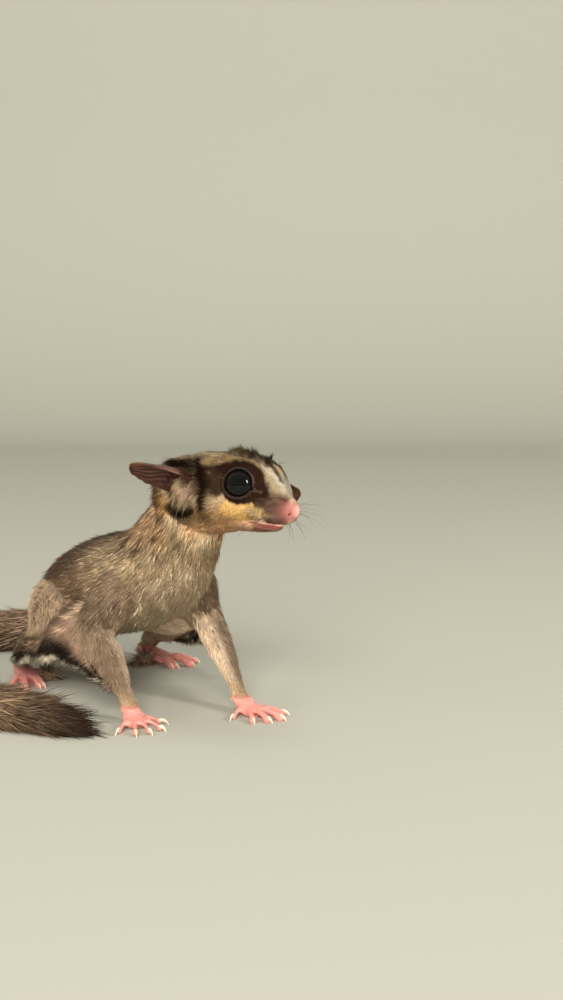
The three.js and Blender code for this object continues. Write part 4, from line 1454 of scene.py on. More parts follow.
        lay(self.paw, np.maximum(foot, leg * ramp(6.2, 4.4, z)))
        bare = np.maximum(foot, leg * ramp(5.5, 3.5, z))
        q = placed(HEAD_BACK, p)
        face, face_bare = self.face(q)
        reach = q[:, 0] + 0.45 * np.minimum(q[:, 2] + 4, 0) + 1.2 * mottle(p, 2.5, 14)
        near_head = skin.on("head", "trunk") * (np.abs(q[:, 1]) < 24) * ramp(-26, -16, q[:, 2])
        head = (spread(skin.shell, near_head.astype(float), 6) * ramp(-4.5, 1.5, reach))[:, None]
        paint.colour = paint.colour * (1 - head) + face * head
        bare = np.maximum(bare, face_bare * head[:, 0])
        lay(self.ear, ear)
        for cup in ears:
            self.paint_ear(paint, cup, skin)
        return paint.colour, np.maximum(bare, ear)

    def paint_ear(self, paint: Paint, ear: Ear, skin: Skin) -> None:
        """Colours of an ear: painted shade in the valleys of its folds, a painted highlight on their ridges,
        a pale upper flap, a red hollow, a rusty tip.
        """
        on = skin.on("ear" + ear.side.end)
        s, across = ear.place(skin.points)
        v = across * -ear.side.value
        fold = ear.folds(s, v * -ear.side.value)
        outward = skin.normals @ ear.frame()[:3, 2]
        for code, weight in (
            (self.ear_light, ramp(-0.3, -0.6, v) * ramp(0.75, 0.5, s) * 0.75),
            (self.ear_tip, ramp(0.78, 0.95, s) * ramp(0.6, -0.2, v) * 0.8),
            # painted shade in the fold valleys
            (self.ear_fold_shade, ramp(0.1, -0.9, fold) * 0.85),
            # painted highlight on the fold ridges
            (self.ear_light, ramp(0.35, 1.0, fold) * 0.6),
            (self.concha, ramp(0.36, 0.2, s) * ramp(0.8, 0.5, v)),
            (self.ear_back, ramp(-0.15, -0.45, outward)),
        ):
            paint.lay(code, on * weight)


# Finishes


Input = float | Sequence[float] | NodeSocket


@dataclass
class Recipe:
    """A material's tree while it is being built."""

    material: Material

    @staticmethod
    def named(name: str) -> "Recipe":
        """A new material with an empty tree."""
        material = bpy.data.materials.new(name)
        material.use_nodes = True
        material.node_tree.nodes.clear()
        return Recipe(material)

    def add(self, kind: str, inputs: dict[str | int, Input] | None = None, **settings: object) -> Node:
        """Adds a node.

        Args:
            kind: the node's type, without the leading ShaderNode.
            inputs: its sockets by name or number, each with a value or another node's output.
            settings: its own properties.

        Returns:
            The new node.
        """
        tree = self.material.node_tree
        node = tree.nodes.new("ShaderNode" + kind)
        for key, value in settings.items():
            setattr(node, key, value)
        for key, value in (inputs or {}).items():
            if isinstance(value, NodeSocket):
                tree.links.new(value, node.inputs[key])
            else:
                node.inputs[key].default_value = value
        return node

    def done(self, colour: Input, roughness: float, inputs: dict[str, Input] | None = None) -> Material:
        """Ends the tree in a surface of a colour and a roughness, with its other inputs by name."""
        inputs = {"Base Color": colour, "Roughness": roughness, **(inputs or {})}
        self.add("OutputMaterial", {"Surface": self.add("BsdfPrincipled", inputs).outputs[0]})
        return self.material

    def tint(self) -> NodeSocket:
        """The markings, which every mesh carries at its corners."""
        return self.add("Attribute", attribute_name="tint").outputs["Color"]

    def place(self) -> NodeSocket:
        """Object coordinates, in metres."""
        return self.add("TexCoord").outputs["Object"]

    def noise(self, size: float, detail: float = 3.0) -> NodeSocket:
        """Noise whose patches are some size across, in millimetres."""
        node = self.add("TexNoise", {"Vector": self.place(), "Scale": 1 / (size * MM), "Detail": detail})
        return node.outputs["Fac"]

    def cells(self, size: float) -> NodeSocket:
        """How far each place lies from the edges of cells of some size, in millimetres."""
        inputs = {"Vector": self.place(), "Scale": 1 / (size * MM)}
        return self.add("TexVoronoi", inputs, feature="DISTANCE_TO_EDGE").outputs[0]

    def shaded(self, colour: Input, factor: NodeSocket, low: float, high: float) -> NodeSocket:
        """A colour made darker or lighter by a factor between 0 and 1."""
        gain = self.add("MapRange", {0: factor, 1: 0.25, 2: 0.75, 3: low, 4: high})
        return self.add("VectorMath", {0: colour, 1: gain.outputs[0]}, operation="MULTIPLY").outputs[0]

    def blend(self, factor: NodeSocket, low: tuple, high: tuple) -> NodeSocket:
        """A colour between two linear ones."""
        return self.add("Mix", {0: factor, 6: (*low, 1), 7: (*high, 1)}, data_type="RGBA").outputs[2]

    def bump(self, height: NodeSocket, depth: float, strength: float) -> dict[str, Input]:
        """The input of a surface that is raised by up to a depth, in millimetres."""
        node = self.add("Bump", {"Height": height, "Distance": depth * MM, "Strength": strength})
        return {"Normal": node.outputs[0]}


def fleshy(weight: float, radius: Station, scale: float) -> dict[str, Input]:
    """The inputs of a surface that light enters, to a depth in millimetres."""
    return {"Subsurface Weight": weight, "Subsurface Radius": radius, "Subsurface Scale": scale * MM}


class Finish(ABC):
    """A material and what it is made of."""

    name: str

    @abstractmethod
    def surface(self, r: Recipe) -> Material:
        """Builds the tree that a recipe has started."""

    def material(self) -> Material:
        """The finish as a material."""
        return self.surface(Recipe.named(self.name))


@dataclass(frozen=True)
class FurFinish(Finish):
    """Dry guard hair over woolly underfur: matt, with darker and lighter hairs."""

    name: str = "glider_fur"
    hair: float = 0.5  # size of its streaks, in millimetres

    def surface(self, r: Recipe) -> Material:
        """Matt streaks."""
        colour = r.shaded(r.tint(), r.noise(self.hair, 2.0), 0.82, 1.16)
        return r.done(colour, 0.8, {"Specular IOR Level": 0.05})


@dataclass(frozen=True)
class HideFinish(Finish):
    """The hide between the tufts, which shows as short felted underfur, painted darker as the shade that the
    tufts cast on it.
    """

    name: str = "glider_hide"
    hair: float = 0.22  # width of the felted hairs, in millimetres
    depth: float = 0.25  # height of the felt, in millimetres

    def surface(self, r: Recipe) -> Material:
        """Felt in clumps, darkened as painted shade from the tufts over it."""
        felt = r.noise(self.hair, 5.0)
        # painted shade: the hide is darkened to 0.4 to 0.75 of the markings, as if in the shadow of the tufts
        dark = r.shaded(r.tint(), felt, 0.4, 0.75)
        colour = r.shaded(dark, r.noise(self.hair * 6, 2.0), 0.8, 1.2)
        return r.done(colour, 0.85, {"Specular IOR Level": 0.1, **r.bump(felt, self.depth, 0.8)})


@dataclass(frozen=True)
class SkinFinish(Finish):
    """Thin moist skin: pink blood below a fine net of creases, and a soft shine."""

    name: str = "glider_bare_skin"
    crease: float = 0.42  # size of the cells that the creases part, in millimetres
    depth: float = 0.07  # their depth, in millimetres

    def surface(self, r: Recipe) -> Material:
        """Blotches, pores and creases."""
        fine = r.noise(0.16, 2.0)
        colour = r.shaded(r.shaded(r.tint(), r.noise(2.4), 0.86, 1.1), fine, 0.95, 1.05)
        low = r.add("MapRange", {0: r.cells(self.crease), 1: 0.0, 2: 0.18})
        height = r.add("Math", {0: low.outputs[0], 1: fine}, operation="ADD").outputs[0]
        flesh = fleshy(0.25, (0.9, 0.35, 0.22), 0.9)
        return r.done(colour, 0.42, {**flesh, **r.bump(height, self.depth, 0.7)})


@dataclass(frozen=True)
class EarFinish(Finish):
    """The ear's bare, thin, faintly veined skin, whose blood lets warm light through."""

    name: str = "glider_ear_skin"
    vein: float = 2.6  # distance between its veins, in millimetres

    def surface(self, r: Recipe) -> Material:
        """Clouds, veins and grain."""
        vein = r.add("MapRange", {0: r.cells(self.vein), 1: 0.0, 2: 0.06, 3: 0.25, 4: 0.6}).outputs[0]
        colour = r.shaded(r.shaded(r.tint(), r.noise(1.6, 4.0), 0.78, 1.2), vein, 0.85, 1.06)
        return r.done(colour, 0.5, {**fleshy(0.3, (1.0, 0.35, 0.2), 0.8), **r.bump(r.noise(0.2), 0.06, 0.6)})


@dataclass(frozen=True)
class EyeFinish(Finish):
    """A wet black eye: a dark brown iris that is all but pupil, under a clear film of tears."""

    name: str = "glider_eye"

    def surface(self, r: Recipe) -> Material:
        """Black that turns to brown at its edge."""
        depth = r.add("LayerWeight", {"Blend": 0.35}).outputs["Facing"]
        base = r.blend(depth, (0.001, 0.001, 0.001), (0.01, 0.006, 0.004))
        return r.done(r.shaded(base, r.noise(0.8), 0.7, 1.4), 0.04, {"IOR": 1.34})


@dataclass(frozen=True)
class HornFinish(Finish):
    """Claw horn: pale and a little see-through, with a fine grain."""

    name: str = "glider_claw_horn"

    def surface(self, r: Recipe) -> Material:
        """Grained horn."""
        grain = r.noise(0.3)
        colour = r.blend(grain, (0.62, 0.45, 0.32), (0.83, 0.7, 0.55))
        return r.done(colour, 0.32, {**fleshy(0.2, (0.8, 0.5, 0.3), 0.4), **r.bump(grain, 0.03, 0.4)})


@dataclass(frozen=True)
class WhiskerFinish(Finish):
    """Whisker hair: stiff, smooth and dark brown."""

    name: str = "glider_whisker"

    def surface(self, r: Recipe) -> Material:
        """Two browns along the hair."""
        return r.done(r.blend(r.noise(4.0, 2.0), (0.03, 0.02, 0.014), (0.16, 0.11, 0.08)), 0.4)


@dataclass(frozen=True)
class StudioFinish(Finish):
    """Matt paper, for the floor and the wall behind."""

    name: str = "studio_paper"
    code: str = "#adac9f"

    def surface(self, r: Recipe) -> Material:
        """One plain colour."""
        return r.done((*linear(self.code), 1), 0.95)


# Dressing


def paint(mesh: Mesh, colours: Array) -> None:
    """Gives each corner of a mesh its linear colour, as the attribute that the finishes read."""
    layer = mesh.color_attributes.new("tint", "FLOAT_COLOR", "POINT")
    rgba = np.ones((len(colours), 4), np.float32)
    rgba[:, :3] = np.clip(colours, 0, 1)
    layer.data.foreach_set("color", rgba.ravel())


def smooth_shaded(mesh: Mesh) -> None:
    """Shades a mesh as one rounded surface."""
    mesh.polygons.foreach_set("use_smooth", np.ones(len(mesh.polygons), bool))


def finished(made: Object, slot: str, nodes: Sequence[str] = ()) -> Object:
    """Ties a piece to the body and hides the nodes that it stands for."""
    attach(made, BODY)
    if nodes:
        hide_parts(*nodes)
    log.info("%s: %d faces", made.name, len(made.data.polygons))
    return made


BARE_FROM = 0.3  # how bare the skin is where its own finish takes over from the hide's
EAR_FROM = 0.16  # the share of an ear's length where its thin skin begins


def dress_skin(skin: Skin, colour: Array, bare: Array) -> Object:
    """The skin as a piece, in hide, bare skin and ear skin by its markings."""
    mesh = mesh_of("skin", skin.shell)
    smooth_shaded(mesh)
    paint(mesh, colour)
    for finish in (HideFinish(), SkinFinish(), EarFinish()):
        mesh.materials.append(finish.material())
    kind = np.where(bare > BARE_FROM, 1, 0)
    kind[skin.on("ear") & (skin.share > EAR_FROM)] = 2
    mesh.polygons.foreach_set("material_index", kind[skin.shell.faces].max(1).astype(np.int32))
    mesh.update()
    nodes = [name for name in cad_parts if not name.startswith("eye_")]
    return finished(object_of("skin", mesh), "bare_skin", nodes)


class TuftShape(Enum):
    """How a tuft is built: its corners as (forwards, across, up) in shares, and its triangles."""

    SPIKE = (
        ((0, -1, 0), (0, 1, 0), (0.12, 0, 1), (1, 0, 0)),
        ((0, 3, 2), (2, 3, 1), (0, 1, 3), (0, 2, 1)),
    )
    LOCK = (
        ((0, -1, 0), (0, 1, 0), (0.45, -0.8, 0), (0.45, 0.8, 0), (0.4, 0, 1), (1, 0, 0)),
        ((0, 4, 1), (0, 2, 4), (1, 4, 3), (2, 5, 4), (4, 5, 3), (0, 1, 3), (0, 3, 2), (2, 3, 5)),
    )


@dataclass(frozen=True)
class Pelt:
    """One piece of the coat."""

    name: str
    count: int
    shape: TuftShape
    slot: str
    strips: tuple
    side: int = 0  # 1 for left, -1 for right, 0 for both
    seed: int = 1
    stretch: tuple = (0.0, 1.0)  # the shares of its strips that it covers

    def chosen(self, skin: Skin) -> Array:
        """The share of its hair that each corner of the skin grows in this piece."""
        made = skin.on(*self.strips).astype(float)
        if self.side:
            middle = placed(HEAD_BACK, skin.points)[:, 1] if "head" in self.strips else skin.points[:, 1]
            made *= (middle * self.side > 0).astype(float)
        low, high = self.stretch
        return made * (skin.share >= low) * (skin.share <= high)


@dataclass(frozen=True)
class Growth:
    """Hair's measures at the corners of the skin, in millimetres and degrees."""

    length: Array
    half: Array  # half-width of a tuft
    lift: Array
    density: Array  # share of the full count

    @staticmethod
    def of(skin: Skin, bare: Array) -> "Growth":
        """How the hair grows at every corner of the skin, by how bare it is."""
        p, up = skin.points, skin.normals[:, 2]
        q = placed(HEAD_BACK, p)
        x, y, z = q[:, 0], np.abs(q[:, 1]), q[:, 2]
        length, half, lift, density = (np.full(len(p), value) for value in (5.2, 0.12, 18.0, 1.0))
        trunk, tail, head, ear = (skin.on(name) for name in ("trunk", "tail", "head", "ear"))
        leg, foot, sheet = skin.on(*LEGS), skin.on(*FEET), skin.on("membrane")
        length[trunk] = np.interp(skin.share[trunk], [0, 0.5, 0.8, 1], [5.5, 5.5, 4.8, 4.2])
        density[trunk] *= np.where(up[trunk] < -0.3, 0.6, 1.0)
        length[leg] = np.interp(p[leg][:, 2], [3, 8, 16, 30], [1.0, 2.0, 3.0, 4.2])
        half[leg] = np.interp(p[leg][:, 2], [3, 30], [0.08, 0.13])
        length[foot], half[foot], lift[foot] = 0.9, 0.055, 16
        density[foot] = 0.55 * (np.clip(up[foot], 0, 1) * ramp(1.4, 2.2, p[foot][:, 2]))
        length[sheet], half[sheet], lift[sheet] = 3.0, 0.11, 16
        length[tail] = np.interp(skin.share[tail], [0, 0.15, 0.5, 0.9, 1], [8, 11, 13, 11, 7])
        half[tail], lift[tail] = 0.17, 22
        face = np.interp(x, [-8, 2, 12, 24, 31, 36, 40, 44], [4.2, 3.6, 2.6, 1.9, 1.2, 0.75, 0.5, 0.35])
        eye = np.linalg.norm(np.stack([x, y, z], 1) - np.array(EYE_PLACE), axis=1)
        face = face * np.interp(eye, [5.6, 6.6, 9.5], [0.35, 0.6, 1.0])
        above_ear = blob(left_half(q), (8, 12, 8), (5.5, 4, 4), 0.4)
        below_ear = blob(left_half(q), (10, 13.6, 0), (5, 4.5, 4.4), 0.4)
        face = face * (1 + 0.5 * below_ear + 0.6 * above_ear)
        length[head] = face[head]
        half[head] = np.interp(x[head], [-8, 10, 30, 42], [0.14, 0.1, 0.075, 0.05])
        lift[head] = np.interp(x[head], [0, 20, 40], [20, 17, 13])
        density[head] = np.interp(x[head], [-5, 15, 30, 42], [0.55, 0.8, 1.25, 1.9])
        density *= 1 - np.where(foot, 0, ramp(0.25, 0.95, bare)) * 0.95
        half[ear], lift[ear] = 0.045, 18
        length[ear] = np.interp(skin.share[ear], [0.1, 0.35, 1], [2.6, 0.9, 0.5])
        density[ear] = np.interp(skin.share[ear], [0, 0.25, 0.4, 1], [1, 0.7, 0.2, 0.12])
        collar = ramp(15, 8, x) * ramp(-4, -9, z) + ramp(4, -1, x)
        length += 1.6 * head * np.clip(collar, 0, 1)
        length, half, lift = (spread(skin.shell, value, 14) for value in (length, half, lift))
        crest = head * (ramp(4.3, 3.2, y) * ramp(16, 20, x) * ramp(34.5, 32, x) * ramp(5, 8, z))
        clumps = mottle(q, 1.5, 41)
        high = np.interp(x, [17, 20, 25, 30, 33], [0.2, 1, 1.8, 1.6, 1.1])
        length = np.maximum(length * (1 + crest * (0.4 + 0.6 * clumps) * high), 0.3)
        return Growth(length, half * (1 + 0.3 * crest), lift + crest * (30 + 28 * clumps), density)


@dataclass(frozen=True)
class Ruffle:
    """How tufts differ from one another, and how they sit on the skin, in millimetres and degrees."""

    stray: float = 0.16  # spread of the way that each points
    swirl: float = 0.22  # how far patches of them turn aside
    tilt: float = 5.0  # spread of their lift
    strands: float = 0.12  # share of guard hairs, and of hairs that stick together
    strand_length: float = 1.3
    strand_width: float = 1.7
    uneven: float = 0.15  # spread of their brightness
    root_depth: float = 0.22
    droop: float = 0.35  # how far they bend back to the skin, as a share of their rise
    ridge: float = 0.5  # height of their ridge, as a share of their half-width
    lowest: float = 0.08  # height over the floor
    black: float = 0.75  # share of black in a ticked tuft
    quick: int = 8


def dress_pelt(
    pelt: Pelt, skin: Skin, growth: Growth, hair: tuple[Array, Array], finish: Material
) -> Object:
    """One piece of the coat as a mesh of tufts.

    Args:
        pelt: the piece to make.
        skin: what it grows on.
        growth: the measures of its hair.
        hair: its colours at the skin's corners, and the share that is ticked.
        finish: the fur's material.

    Returns:
        The piece.
    """
    rng, ruffle, shell = np.random.default_rng(pelt.seed), Ruffle(), skin.shell
    a, b, c = (shell.points[shell.faces[:, k]] for k in range(3))
    area = np.linalg.norm(np.cross(b - a, c - a), axis=1) / 2
    level = np.cumsum(area * (pelt.chosen(skin) * growth.density)[shell.faces].mean(1))
    count = pelt.count // 1
    ticks = (np.arange(count) + rng.uniform(0, 1, count)) / count * level[-1]
    face = np.minimum(np.searchsorted(level, ticks), len(level) - 1)
    bary = rng.dirichlet((1, 1, 1), count)
    corners = shell.faces[face]

    def at(values: Array) -> Array:
        """A corner value at each root."""
        return np.einsum("ij,ij...->i...", bary, values[corners])

    root, normal = at(shell.points), unit(at(skin.normals))
    lie = at(skin.lie) + rng.normal(0, ruffle.stray, (count, 3))
    lie = lie + np.cross(normal, lie) * (mottle(root, 5.0, 21)[:, None] * ruffle.swirl)
    forward = unit(lie - normal * (lie * normal).sum(1, keepdims=True))
    across = np.cross(normal, forward)
    length = at(growth.length) * rng.uniform(0.7, 1.25, count)
    half = at(growth.half) * rng.uniform(0.8, 1.2, count)
    strand = rng.uniform(size=count) < ruffle.strands
    length = np.where(strand, ruffle.strand_length * length, length)
    half = np.where(strand, ruffle.strand_width * half, half)
    clump = 1 + 0.25 * mottle(root, 2.5, 22)
    lift = np.radians(at(growth.lift) * clump + rng.normal(0, ruffle.tilt, count))

    shares, faces = pelt.shape.value
    points = np.empty((count, len(shares), 3))
    for k, (ahead, wide, high) in enumerate(shares):
        rise = np.sin(lift) * (ahead - ruffle.droop * ahead**2)
        points[:, k] = (
            root
            - normal * ruffle.root_depth * (1 - ahead)
            + forward * (length * ahead * np.cos(lift))[:, None]
            + normal * (length * rise + half * ruffle.ridge * high)[:, None]
            + across * (half * wide)[:, None]
        )
    points[..., 2] = np.maximum(points[..., 2], ruffle.lowest)
    corners_of = (np.arange(count) * len(shares))[:, None, None] + np.array(faces)[None]
    tufts = Shell(points.reshape(-1, 3), corners_of.reshape(-1, 3))

    colour, ticked = hair
    streaks = 1 + 0.13 * mottle(root, 1.3, 23)
    uneven = rng.normal(1, ruffle.uneven, count) * np.where(strand, rng.uniform(0.65, 1.3, count), 1)
    made = at(colour) * (uneven * streaks)[:, None].clip(0.35, 1.9)
    black = rng.uniform(size=count) < at(ticked)
    made[black] = (1 - ruffle.black) * made[black] + ruffle.black * linear(Markings.stripe)
    fade = np.interp([s[0] for s in shares], [0, 0.4, 1], [0.72, 1.06, 1.2])
    tints = made[:, None] * fade[None, :, None]
    mesh = mesh_of(pelt.name, tufts)
    paint(mesh, tints.reshape(-1, 3))
    unwrap(mesh, pelt, skin, root, shares, faces)
    mesh.materials.append(finish)
    mesh.update()
    return finished(object_of(pelt.name, mesh), pelt.slot)


BAKE_EDGE = 0.01  # left free at each end of a strip, as a share of the unwrap
BAKE_PATCH = 0.003  # size of a tuft's patch


def unwrap(
    mesh: Mesh, pelt: Pelt, skin: Skin, root: Array, shares: Sequence, faces: Sequence
) -> None:
    """Lays each tuft as a small patch at its root's place on the skin's own unwrap.

    The unwrap goes along each strip and round it, with the strips side by side.
    """
    chosen = [s for s in skin.strips if s.name.startswith(pelt.strips)]
    strip, sample = nearest(root, chosen)
    middles = np.vstack([s.middles for s in chosen])[sample]
    lies = np.vstack([s.lies for s in chosen])[sample]
    overs = np.vstack([s.overs for s in chosen])[sample]
    lengths = np.array([s.length for s in chosen])[strip]
    away = root - middles
    along = np.concatenate([s.shares for s in chosen])[sample] + (away * lies).sum(1) / lengths
    sideways = np.cross(overs, lies)
    angle = np.arctan2((away * sideways).sum(1), (away * overs).sum(1)) / TURN
    sheets = np.concatenate([np.full(len(s.middles), np.nan) if s.sheet is None else s.sheet for s in chosen])
    angle = np.where(np.isnan(sheets[sample]), angle, sheets[sample] + (away * sideways).sum(1) / 12)
    u, v = np.empty(len(root)), np.empty(len(root))
    used = np.unique(strip)
    for place, number in enumerate(used):
        mine = strip == number
        for target, value, slots, offset in ((u, along, 1, 0), (v, angle, len(used), place)):
            low, high = value[mine].min(), value[mine].max()
            level = (value[mine] - low) / max(high - low, 1e-6)
            target[mine] = (offset + BAKE_EDGE + (1 - 2 * BAKE_EDGE) * level) / slots
    offsets = np.array([[s[0] - 0.5, s[1] / 2] for s in shares]) * BAKE_PATCH
    flat = np.clip(np.stack([u, v], 1), 0.002, 0.998)[:, None] + offsets[None]
    index = np.array(faces).ravel()
    layer = mesh.uv_layers.new(name="OFBake")
    layer.data.foreach_set("uv", flat[:, index].astype(np.float32).ravel())


def pelts() -> list[Pelt]:
    """The pieces of the coat."""
    spike, lock = TuftShape.SPIKE, TuftShape.LOCK
    return [
        Pelt("coat_face_right", 49000, spike, "fur_grey", ("head",), -1, 31),
        Pelt("coat_face_left", 49000, spike, "fur_grey", ("head",), 1, 32),
        Pelt("coat_trunk_right", 49000, spike, "fur_grey", ("trunk",), -1, 33),
        Pelt("coat_trunk_left", 49000, spike, "fur_grey", ("trunk",), 1, 34),
        Pelt("coat_legs", 46000, spike, "fur_grey", LEGS + FEET, 0, 35),
        Pelt("coat_membranes", 32000, spike, "fur_cream", ("membrane",), 0, 36),
        Pelt("coat_tail_near", 24000, lock, "fur_grey", ("tail",), 0, 37, (0.0, 0.5)),
        Pelt("coat_tail_far", 24000, lock, "fur_dark", ("tail",), 0, 39, (0.5, 1.0)),
        Pelt("coat_ears", 16000, spike, "fur_dark", ("ear",), 0, 38),
    ]


# Eyes, claws and whiskers


def rounded_piece(
    name: str, shell: Shell, finish: Material, slot: str, nodes: Sequence[str] = ()
) -> Object:
    """A smooth piece of one finish, in place of some nodes or of none."""
    mesh = mesh_of(name, shell)
    smooth_shaded(mesh)
    mesh.materials.append(finish)
    return finished(object_of(name, mesh), slot, nodes)


@dataclass(frozen=True)
class Eye:
    """An eyeball with its cornea's slight bulge."""

    side: Side
    bulge: float = 0.22
    detail: int = 96

    def build(self, finish: Material) -> Object:
        """The eye as a piece in place of its node."""
        ball = egg((0, 0, 0), (1, 1, 1), self.detail)
        radius = EYE_RADIUS - 0.02 + self.bulge * ramp(0.55, 1.0, ball.points[:, 0])
        ball.points = ball.points * radius[:, None]
        shell = ball.placed(HEAD_FRAME @ eye_frame(self.side.value))
        return rounded_piece("eyeball" + self.side.end, shell, finish, "eye_gloss", ["eye" + self.side.end])


@dataclass(frozen=True)
class Whiskers:
    """Whiskers on the pads, cheeks and brows, in the head's frame and given for the left side.

    Each row holds a root, the way it points, its length and how many hairs fan out from there.
    """

    rows: tuple = (
        ((38.6, 4.6, 0.6), (0.25, 1, 0.25), 15, 4),
        ((37.6, 5.1, -0.8), (0.05, 1, 0.0), 18, 5),
        ((36.4, 5.2, -2.0), (-0.15, 1, -0.25), 17, 5),
        ((35.6, 4.8, -3.1), (-0.2, 0.9, -0.45), 11, 3),
        ((29.0, 7.4, 13.0), (0.2, 0.95, 0.25), 7, 2),
        ((21.0, 12.0, -2.8), (-0.1, 1, -0.2), 9, 2),
    )
    root_radius: float = 0.055
    tip_radius: float = 0.008
    bend: float = 0.28
    seed: int = 77

    def lines(self) -> Shell:
        """The whiskers' middle lines, as strings of corners with no faces."""
        rng = np.random.default_rng(self.seed)
        points, edges = [], []
        steps = np.linspace(0, 1, 12)[:, None]
        for side in (1, -1):
            for root, way, length, count in self.rows:
                for _ in range(count):
                    start = np.array(mirrored(root, side)) + rng.normal(0, 0.45, 3) * [1, 0.1, 1]
                    start -= np.array(mirrored(way, side)) * 0.5
                    ahead = unit(np.array(mirrored(way, side)) + rng.normal(0, 0.16, 3))
                    fall = np.array([-0.6, 0, -0.8]) * self.bend * rng.uniform(0.4, 1.3)
                    reach = length * rng.uniform(0.7, 1.1)
                    line = start + reach * (steps * ahead + steps**2 * fall)
                    first = sum(len(p) for p in points)
                    points.append(line)
                    edges += [(first + i, first + i + 1) for i in range(len(line) - 1)]
        return Shell(placed(HEAD_FRAME, np.vstack(points)), np.array(edges))

    def tree(self) -> GeometryNodeTree:
        """Turns strings of edges into tapered hairs."""
        tree = bpy.data.node_groups.new("Whisker hairs", "GeometryNodeTree")
        for name, kind, way in (
            ("Geometry", "Geometry", "INPUT"),
            ("Root radius", "Float", "INPUT"),
            ("Tip radius", "Float", "INPUT"),
            ("Finish", "Material", "INPUT"),
            ("Geometry", "Geometry", "OUTPUT"),
        ):
            tree.interface.new_socket(name, in_out=way, socket_type="NodeSocket" + kind)
        kinds = {
            "source": "NodeGroupInput",
            "curve": "GeometryNodeMeshToCurve",
            "share": "GeometryNodeSplineParameter",
            "taper": "ShaderNodeMapRange",
            "girth": "GeometryNodeSetCurveRadius",
            "profile": "GeometryNodeCurvePrimitiveCircle",
            "hair": "GeometryNodeCurveToMesh",
            "dress": "GeometryNodeSetMaterial",
            "out": "NodeGroupOutput",
        }
        n = {key: tree.nodes.new(kind) for key, kind in kinds.items()}
        n["profile"].inputs["Resolution"].default_value = 6
        n["profile"].inputs["Radius"].default_value = 1.0
        n["hair"].inputs["Fill Caps"].default_value = True
        links = [
            ("source", "Geometry", "curve", "Mesh"),
            ("curve", "Curve", "girth", "Curve"),
            ("share", "Factor", "taper", "Value"),
            ("source", "Root radius", "taper", "To Min"),
            ("source", "Tip radius", "taper", "To Max"),
            ("taper", "Result", "girth", "Radius"),
            ("girth", "Curve", "hair", "Curve"),
            ("profile", "Curve", "hair", "Profile Curve"),
            ("hair", "Mesh", "dress", "Geometry"),
            ("source", "Finish", "dress", "Material"),
            ("dress", "Geometry", "out", "Geometry"),
        ]
        if "Scale" in n["hair"].inputs:
            links.append(("taper", "Result", "hair", "Scale"))
        for start, output, end, entry in links:
            tree.links.new(n[start].outputs[output], n[end].inputs[entry])
        return tree

    def build(self, finish: Material) -> Object:
        """The whiskers as a piece."""
        lines = self.lines()
        mesh = bpy.data.meshes.new("whisker_lines")
        mesh.from_pydata([tuple(p) for p in (lines.points + SHIFT) * MM], lines.faces.tolist(), [])
        made = object_of("whiskers", mesh)
        tree = self.tree()
        modifier = made.modifiers.new("Whisker hairs", "NODES")
        modifier.node_group = tree
        values = {"Root radius": self.root_radius * MM, "Tip radius": self.tip_radius * MM, "Finish": finish}
        for item in tree.interface.items_tree:
            if item.item_type == "SOCKET" and item.in_out == "INPUT" and item.name in values:
                modifier[item.identifier] = values[item.name]
        settle(made)
        smooth_shaded(made.data)
        return finished(made, "fur_dark")


# The studio


@dataclass(frozen=True)
class Light:
    """A soft rectangular light, placed round the animal's head, in metres."""

    name: str
    place: tuple
    size: tuple
    power: float
    colour: tuple
    mirrored: bool = True  # whether it shows as a reflection in the eyes


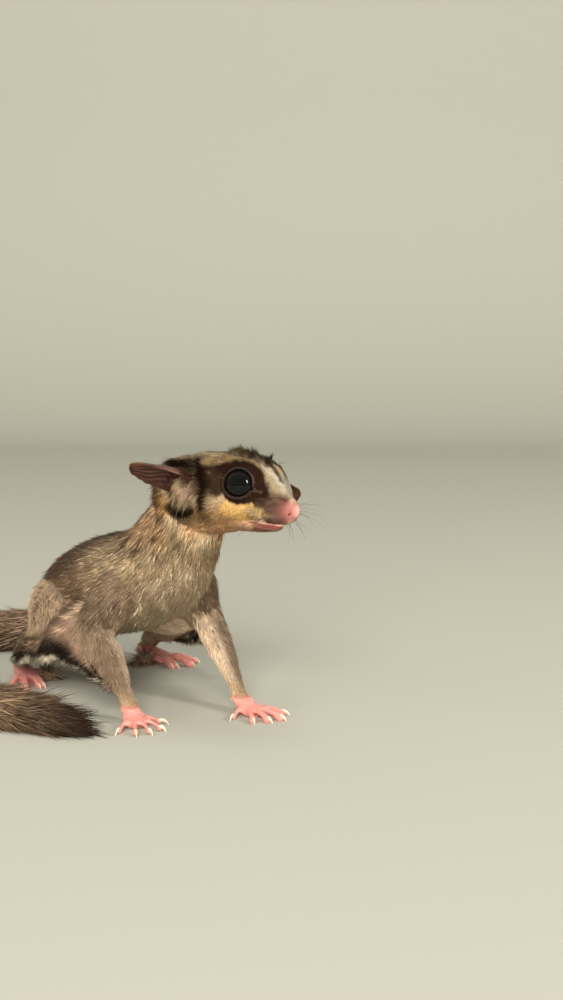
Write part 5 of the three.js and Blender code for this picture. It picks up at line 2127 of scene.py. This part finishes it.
@dataclass(frozen=True)
class Studio:
    """Pale paper below and behind, soft lights, and a camera at the photograph's angle."""

    azimuth: float = 60.0
    elevation: float = 7.0
    distance: float = 450.0
    lens: float = 55.9
    nose: tuple = (74.3, 17.98, 68.0)
    pixels_per_mm: float = 3.45
    nose_offset: tuple = (18.5, 10.0)  # pixels from the middle of the picture to the nose: right, down
    lights: tuple = (
        Light("window", (1.3, 0.75, 0.75), (0.25, 0.5), 17.0, (1.0, 0.96, 0.9)),
        Light("key", (1.6, -1.1, 1.0), (1.0, 1.0), 58.0, (1.0, 0.96, 0.9), False),
        Light("bounce", (0.85, -0.85, 0.0), (0.6, 0.12), 13.0, (1.0, 0.92, 0.8), False),
        Light("fill", (-0.1, -1.1, 0.45), (0.9, 0.9), 2.0, (1.0, 0.98, 0.95), False),
        Light("top", (0.0, 0.1, 1.3), (0.5, 0.5), 4.0, (1.0, 0.98, 0.95), False),
    )
    world: float = 0.36
    # metres: the floor's start, the bend's start and radius, the wall's top and half the width
    paper: tuple = (-2.5, 0.9, 0.35, 2.2, 3.0)

    def axes(self) -> tuple[Array, Array, Array]:
        """The camera's right, up and back."""
        a, e = math.radians(self.azimuth), math.radians(self.elevation)
        back = np.array([math.sin(a) * math.cos(e), -math.cos(a) * math.cos(e), math.sin(e)])
        right = unit(np.cross((0, 0, 1), back))
        return right, np.cross(back, right), back

    def add_camera(self) -> None:
        """Sets the scene's camera to frame the head as the photograph does."""
        right, up, back = self.axes()
        aside, down = (value / self.pixels_per_mm for value in self.nose_offset)
        aim = np.array(self.nose) - right * aside + up * down
        place = (aim + back * self.distance + SHIFT) * MM
        data = bpy.data.cameras.new("camera")
        data.lens = self.lens
        data.sensor_width = 36.0
        data.clip_start = 0.02
        camera = bpy.data.objects.new("camera", data)
        camera.matrix_world = Matrix(np.column_stack([right, up, back]).tolist()).to_4x4()
        camera.location = place
        bpy.context.scene.collection.objects.link(camera)
        bpy.context.scene.camera = camera

    def add_paper(self) -> None:
        """Floor and wall as one sheet with a bend in it, behind the animal as the camera sees it."""
        right, _, back = self.axes()
        back = unit(back * [1, 1, 0])
        near, far, bend, wall, half = self.paper
        profile = [(near, 0.0), (far, 0.0)]
        for angle in np.linspace(0, math.pi / 2, 16)[1:]:
            profile.append((far + bend * math.sin(angle), bend * (1 - math.cos(angle))))
        profile.append((far + bend, wall))
        points = [
            tuple(-back * along + right * side + np.array([0, 0, height]))
            for along, height in profile
            for side in (-half, half)
        ]
        faces = [(i, i + 1, i + 3, i + 2) for i in range(0, 2 * len(profile) - 2, 2)]
        mesh = bpy.data.meshes.new("paper")
        mesh.from_pydata(points, [], faces)
        smooth_shaded(mesh)
        mesh.materials.append(StudioFinish().material())
        object_of("paper", mesh)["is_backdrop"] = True

    def add_lights(self) -> None:
        """Soft lights aimed at the head, and a pale world."""
        aim = Vector(placed(HEAD_FRAME, np.array([[20.0, 0, 0]]))[0] + SHIFT) * MM
        for light in self.lights:
            data = bpy.data.lights.new(light.name, "AREA")
            data.shape = "RECTANGLE"
            data.size, data.size_y = light.size
            data.energy = light.power
            data.color = light.colour
            lamp = bpy.data.objects.new(light.name, data)
            lamp.visible_glossy = light.mirrored
            lamp.location = aim + Vector(light.place)
            lamp.rotation_euler = (-Vector(light.place)).to_track_quat("-Z", "Y").to_euler()
            bpy.context.scene.collection.objects.link(lamp)
            lamp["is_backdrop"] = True
        world = bpy.data.worlds.new("studio")
        world.use_nodes = True
        ground = world.node_tree.nodes["Background"]
        ground.inputs[0].default_value = (1.0, 0.99, 0.96, 1)
        ground.inputs[1].default_value = self.world
        bpy.context.scene.world = world
        bpy.context.scene.view_settings.view_transform = "Standard"

    def build(self) -> None:
        """Everything round the animal."""
        self.add_camera()
        self.add_paper()
        self.add_lights()


def write_size() -> None:
    """Logs the solids' bounds and the dressed animal's."""
    bounds = {"cad": CAD_BOUNDS, "visual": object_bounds()}
    plain = {key: [[round(v, 6) for v in corner] for corner in value] for key, value in bounds.items()}
    log.info("bounds: %s", plain)


def main() -> None:
    """Builds and dresses the animal, then the studio round it."""
    animal = Animal()
    skin = animal.skin()
    markings = Markings()
    colour, bare = markings.of(skin, animal.ears)
    hair = markings.hair(skin, colour, bare)
    dress_skin(skin, colour, bare)
    growth = Growth.of(skin, bare)
    fur = FurFinish().material()
    for pelt in pelts():
        dress_pelt(pelt, skin, growth, hair, fur)
    wet = EyeFinish().material()
    for side in Side:
        Eye(side).build(wet)
    claws = joined(foot.claws() for foot in animal.feet)
    rounded_piece("claws", claws, HornFinish().material(), "claw_horn")
    Whiskers().build(WhiskerFinish().material())
    Studio().build()
    write_size()


if __name__ == "__main__":
    main()
